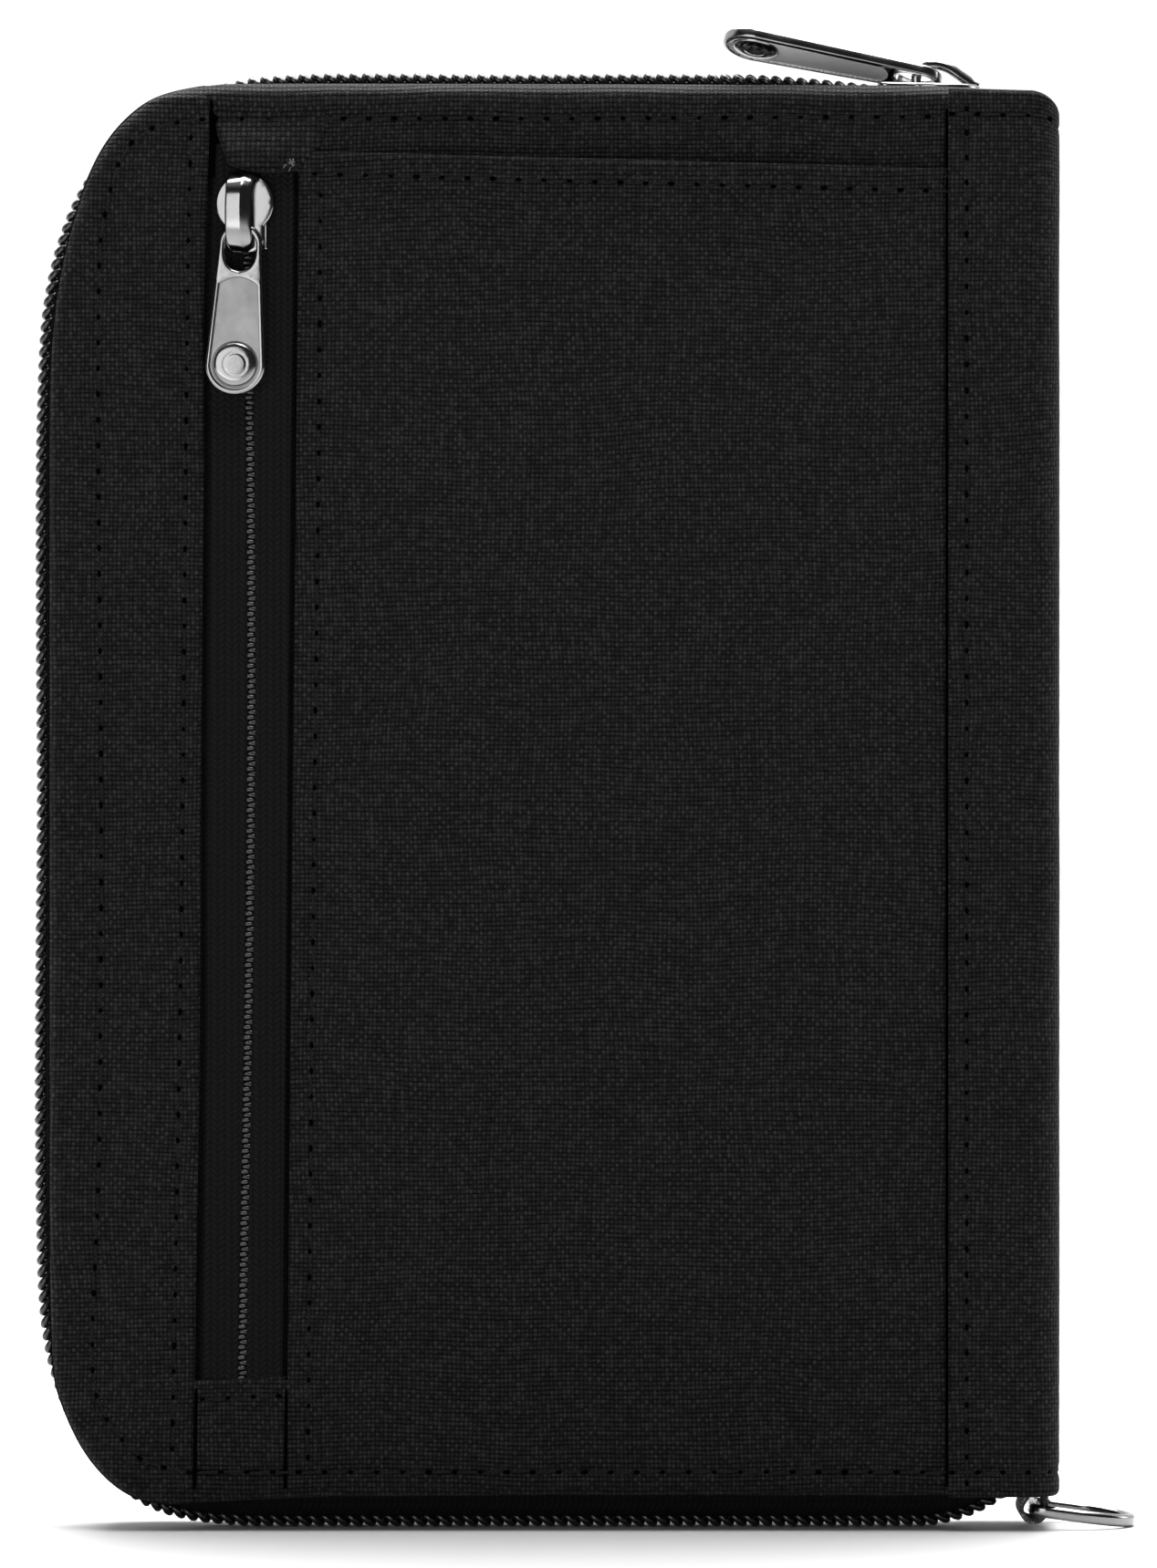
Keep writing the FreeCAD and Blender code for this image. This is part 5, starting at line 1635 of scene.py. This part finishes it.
def ring_and_loop():
    """D-ring of flat wire, and the webbing tab folded round its straight bar."""
    leg, bend, corner = 4.8, 5.45, 1.2
    points = []
    for cx, cy, a0, a1, radius in ((corner, bend - corner, math.pi, math.pi / 2, corner),
                                   (leg, 0, math.pi / 2, -math.pi / 2, bend),
                                   (corner, -bend + corner, 1.5 * math.pi, math.pi, corner)):
        count = 8 if radius == corner else 44
        points += [(cx + radius * math.cos(a), cy + radius * math.sin(a))
                   for a in np.linspace(a0, a1, count)]
    loop = divide(np.array(points), 0.25)
    path = np.concatenate([loop, np.zeros((len(loop), 1))], axis=1)
    piece = sweep("d_ring_metal", path, box_section(0.95, 1.3, 0.45, 7), closed=True, up=(0, 0, 1))
    bar, hang = np.array([50.05, 1.98]), math.radians(7.6)      # place of the ring's straight bar
    tilt = Matrix.Translation((bar[0] * MM, 0, bar[1] * MM)) @ Matrix.Rotation(hang, 4, "Y")
    settle(piece, tilt)
    wear(piece, METAL, "d_ring", ("d_ring",))
    around = 1.28
    round_bar = [bar + around * np.array([math.cos(a), math.sin(a)])
                 for a in np.linspace(math.radians(10), math.radians(-215), 26)]
    first = [(51.25, 11.5), (51.25, 5.5)]
    last = [(49.6, 3.6), (50.3, 5.0), (50.55, 7.0), (50.6, 11.5)]
    strip = spline(first + [tuple(p) for p in round_bar] + last, 0.3)
    path = np.stack([strip[:, 0], np.zeros(len(strip)), strip[:, 1]], axis=1)
    tab = sweep("webbing_tab", path, box_section(0.52, 8.4, 0.2, 3), up=(0, 1, 0))
    wear(tab, WEBBING, "spine", ("ring_loop",))


# ---------------------------------------------------------------- inside

def inner_sheet(name, place, half, foot, top_edge, depth, thick, body, material, node,
                hem=1.6):
    """A flat pocket sheet: hemmed along its top, sewn along its sides and foot."""
    outline = rounded([(-half, foot, 0.6), (half, foot, 0.6), (half, top_edge, 0.3),
                       (-half, top_edge, 0.3)], 0.9)
    thin = {"depth": 0.04, "hole_depth": 0.1}               # thin cloth pulls in less
    seams = [Seam([(-half + 1.2, top_edge - 1), (-half + 1.2, foot + 1.2),
                   (half - 1.2, foot + 1.2), (half - 1.2, top_edge - 1)], seed=41, **thin),
             Seam([(-half + 1, top_edge - hem), (half - 1, top_edge - hem)], seed=42, **thin)]

    def surface(x, y):
        return np.full(len(x), -depth)

    def face(x, y, d):
        return surface(x, y) - roll(d, 0.1) - groove_of(seams, x, y)

    piece = relief(name, outline, face, lambda x, y, d: face(x, y, d) - thick,
                   marks=marks_of(seams), grid=3.2, place=lambda x, y, h: place(x, y, -h),
                   rings=(0.06, 0.2, 0.6))
    wear(piece, material, body, (node,))
    sew(f"{name}_stitches", seams, [surface] * 2, lambda x, y, h: place(x, y, -h), body,
        radius=0.11)


def inside_pieces():
    """Linings of both covers, the document pocket, three card slots and the passport sleeve."""
    for word, place, hand in (("back", inner_back, -1), ("front", inner_front, 1)):
        outline = cover_edge(-1.7, step=0.9)
        if hand < 0:
            outline = (outline * np.array([-1, 1]))[::-1]
        piece = relief(f"{word}_lining_cloth", outline,
                       lambda x, y, d: -4.9 - roll(d, 0.15) + 0.02 * ripple(x, y, 20, 3.0),
                       level(-5.22), grid=3.5, place=lambda x, y, h, q=place: q(x, y, -h),
                       rings=(0.1, 0.4))
        wear(piece, LINING, f"{word}_cover", (f"{word}_lining",))
    inner_sheet("document_pocket_cloth", inner_back, 46.0, 8.0, 138.0, 4.42, 0.22, "back_cover",
                LINING, "document_pocket")
    for word, depth, top_edge in (("upper", 3.92, 112.0), ("middle", 3.42, 92.0),
                                  ("lower", 2.92, 72.0)):
        inner_sheet(f"card_slot_{word}_cloth", inner_back, 44.5, 10.0, top_edge, depth, 0.22,
                    "back_cover", LINING, f"card_slot_{word}")
    inner_sheet("passport_sleeve_cloth", inner_front, 45.6, 8.4, 112.0, 0.15, 0.3, "front_cover",
                OUTER, "passport_sleeve", hem=2.0)
    spine_lining()


def spine_lining():
    """Lining of the spine, in two halves."""
    foot, top_edge = 3.7, 147.6
    for sign, body in ((-1, "back_cover"), (1, "front_cover")):
        ys = np.concatenate([np.linspace(0, 6.2, 12), [6.6, 7.0]])
        zs = np.arange(foot, top_edge, 1.5)
        verts, uv = [], []
        for x_face in (51.62, 52.1):
            for y in ys:
                for z_at in zs:
                    verts.append((x_face - 0.5 * max(y - 5.8, 0), sign * y, z_at))
                    uv.append((y, z_at))
        rows, cols = len(ys), len(zs)
        grid_of = lambda f, i, j: f * rows * cols + i * cols + j
        faces = []
        for i in range(rows - 1):
            for j in range(cols - 1):
                near = (grid_of(0, i, j), grid_of(0, i, j + 1), grid_of(0, i + 1, j + 1),
                        grid_of(0, i + 1, j))
                far = tuple(v + rows * cols for v in near[::-1])
                faces += [near, far]
        rim = [(i, 0) for i in range(rows)] + [(rows - 1, j) for j in range(1, cols)]
        rim += [(i, cols - 1) for i in range(rows - 2, -1, -1)]
        rim += [(0, j) for j in range(cols - 2, 0, -1)]
        for (i, j), (m, n) in zip(rim, rim[1:] + rim[:1]):
            faces.append((grid_of(0, i, j), grid_of(0, m, n), grid_of(1, m, n), grid_of(1, i, j)))
        if sign > 0:
            faces = [f[::-1] for f in faces]
        piece = to_mesh(f"spine_lining_{body}_half", verts, faces, uv)
        piece.data.materials.append(LINING)
        bend_at_fold(piece, body, "lining")
        if sign < 0:
            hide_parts("spine_lining")


# ---------------------------------------------------------------- build

foot_seam = back_cover_cloth()
left_strip()
slip_panel(foot_seam)
front_cover_cloth()
spine_fabric()
pocket_zip()
zip_ends()
zip_around()
pocket_slider()
pocket_puller()
main_slider()
main_puller()
ring_and_loop()
inside_pieces()

for node, material in (("back_board", BOARD), ("front_board", BOARD), ("back_padding", FOAM),
                       ("front_padding", FOAM), ("pocket_bag", LINING)):
    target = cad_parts[node]
    target.data.materials.clear()
    target.data.materials.append(material)


# ---------------------------------------------------------------- stage, light, camera

def studio():
    """White behind and overhead, dark in front but for a soft box left of the camera."""
    scene = bpy.context.scene
    scene.view_settings.view_transform = "Standard"
    world = bpy.data.worlds.new("studio")
    scene.world = world
    world.use_nodes = True
    nodes, links = world.node_tree.nodes, world.node_tree.links
    split = nodes.new("ShaderNodeSeparateXYZ")
    links.new(nodes.new("ShaderNodeTexCoord").outputs["Generated"], split.inputs[0])

    def fade(value, low, high, start, end):
        """A brightness that goes smoothly from low to high between two directions."""
        node = nodes.new("ShaderNodeMapRange")
        node.interpolation_type = "SMOOTHSTEP"
        links.new(value, node.inputs[0])
        for socket, amount in zip(list(node.inputs)[1:5], (start, end, low, high)):
            socket.default_value = amount
        return node.outputs[0]

    behind = fade(split.outputs[1], 0.035, 1.05, -0.05, 0.28)
    above = fade(split.outputs[2], 0.0, 0.5, 0.55, 0.95)
    below = fade(split.outputs[2], 1.1, 0.0, -0.16, -0.07)

    def larger(a, b):
        """The larger of two brightnesses."""
        node = nodes.new("ShaderNodeMath")
        node.operation = "MAXIMUM"
        links.new(a, node.inputs[0])
        links.new(b, node.inputs[1])
        return node.outputs[0]

    links.new(larger(larger(behind, above), below), nodes["Background"].inputs[1])
    nodes["Background"].inputs[0].default_value = (1.0, 1.0, 1.0, 1.0)
    just_below = -0.00002
    bpy.ops.mesh.primitive_plane_add(size=0.9, location=(0, 0, just_below))
    floor = bpy.context.object
    floor.name = "studio_floor"
    s = Shader("pale_floor")
    grain = s.noise(s.place(), 30.0, 2.0)
    colour = s.mix(grain, (0.60, 0.60, 0.60), (0.62, 0.62, 0.62))
    floor.data.materials.append(s.finish(Base_Color=colour, Roughness=0.6))
    lamp("overhead_softbox", (0.0, 0.22, 0.62), (0, 0.14, 0), 0.6, 13.0)
    lamp("front_top_softbox", (0.12, -0.33, 0.84), (0, 0, 0.1), 0.32, 3.3)
    lamp("left_softbox", (-0.50, -1.02, 0.2), (0, 0, 0.08), 0.8, 4.5)
    lamp("right_strip", (0.9, 0.35, 0.3), (0, 0, 0.08), 0.35, 1.2)


def lamp(name, place, aim, size, watts):
    """A square soft box."""
    light = bpy.data.lights.new(name, "AREA")
    light.size = size
    light.energy = watts
    lamp_object = bpy.data.objects.new(name, light)
    lamp_object.location = place
    direction = Vector(aim) - Vector(place)
    lamp_object.rotation_euler = direction.to_track_quat("-Z", "Y").to_euler()
    bpy.context.scene.collection.objects.link(lamp_object)


def camera():
    """Level with the wallet's middle, a metre away, on a long lens."""
    height, scale, distance = 1719, 10.6, 1.0           # image rows, rows per millimetre, metres
    lens = bpy.data.cameras.new("camera")
    lens.sensor_fit = "VERTICAL"
    lens.sensor_height = 36.0
    lens.lens = 36.0 * distance / (height / scale * MM)
    lens.clip_start = 0.05
    view = bpy.data.objects.new("camera", lens)
    view.location = (0.00316, -distance, 0.0767)
    view.rotation_euler = (math.pi / 2, 0, 0)
    bpy.context.scene.collection.objects.link(view)
    bpy.context.scene.camera = view


studio()
camera()
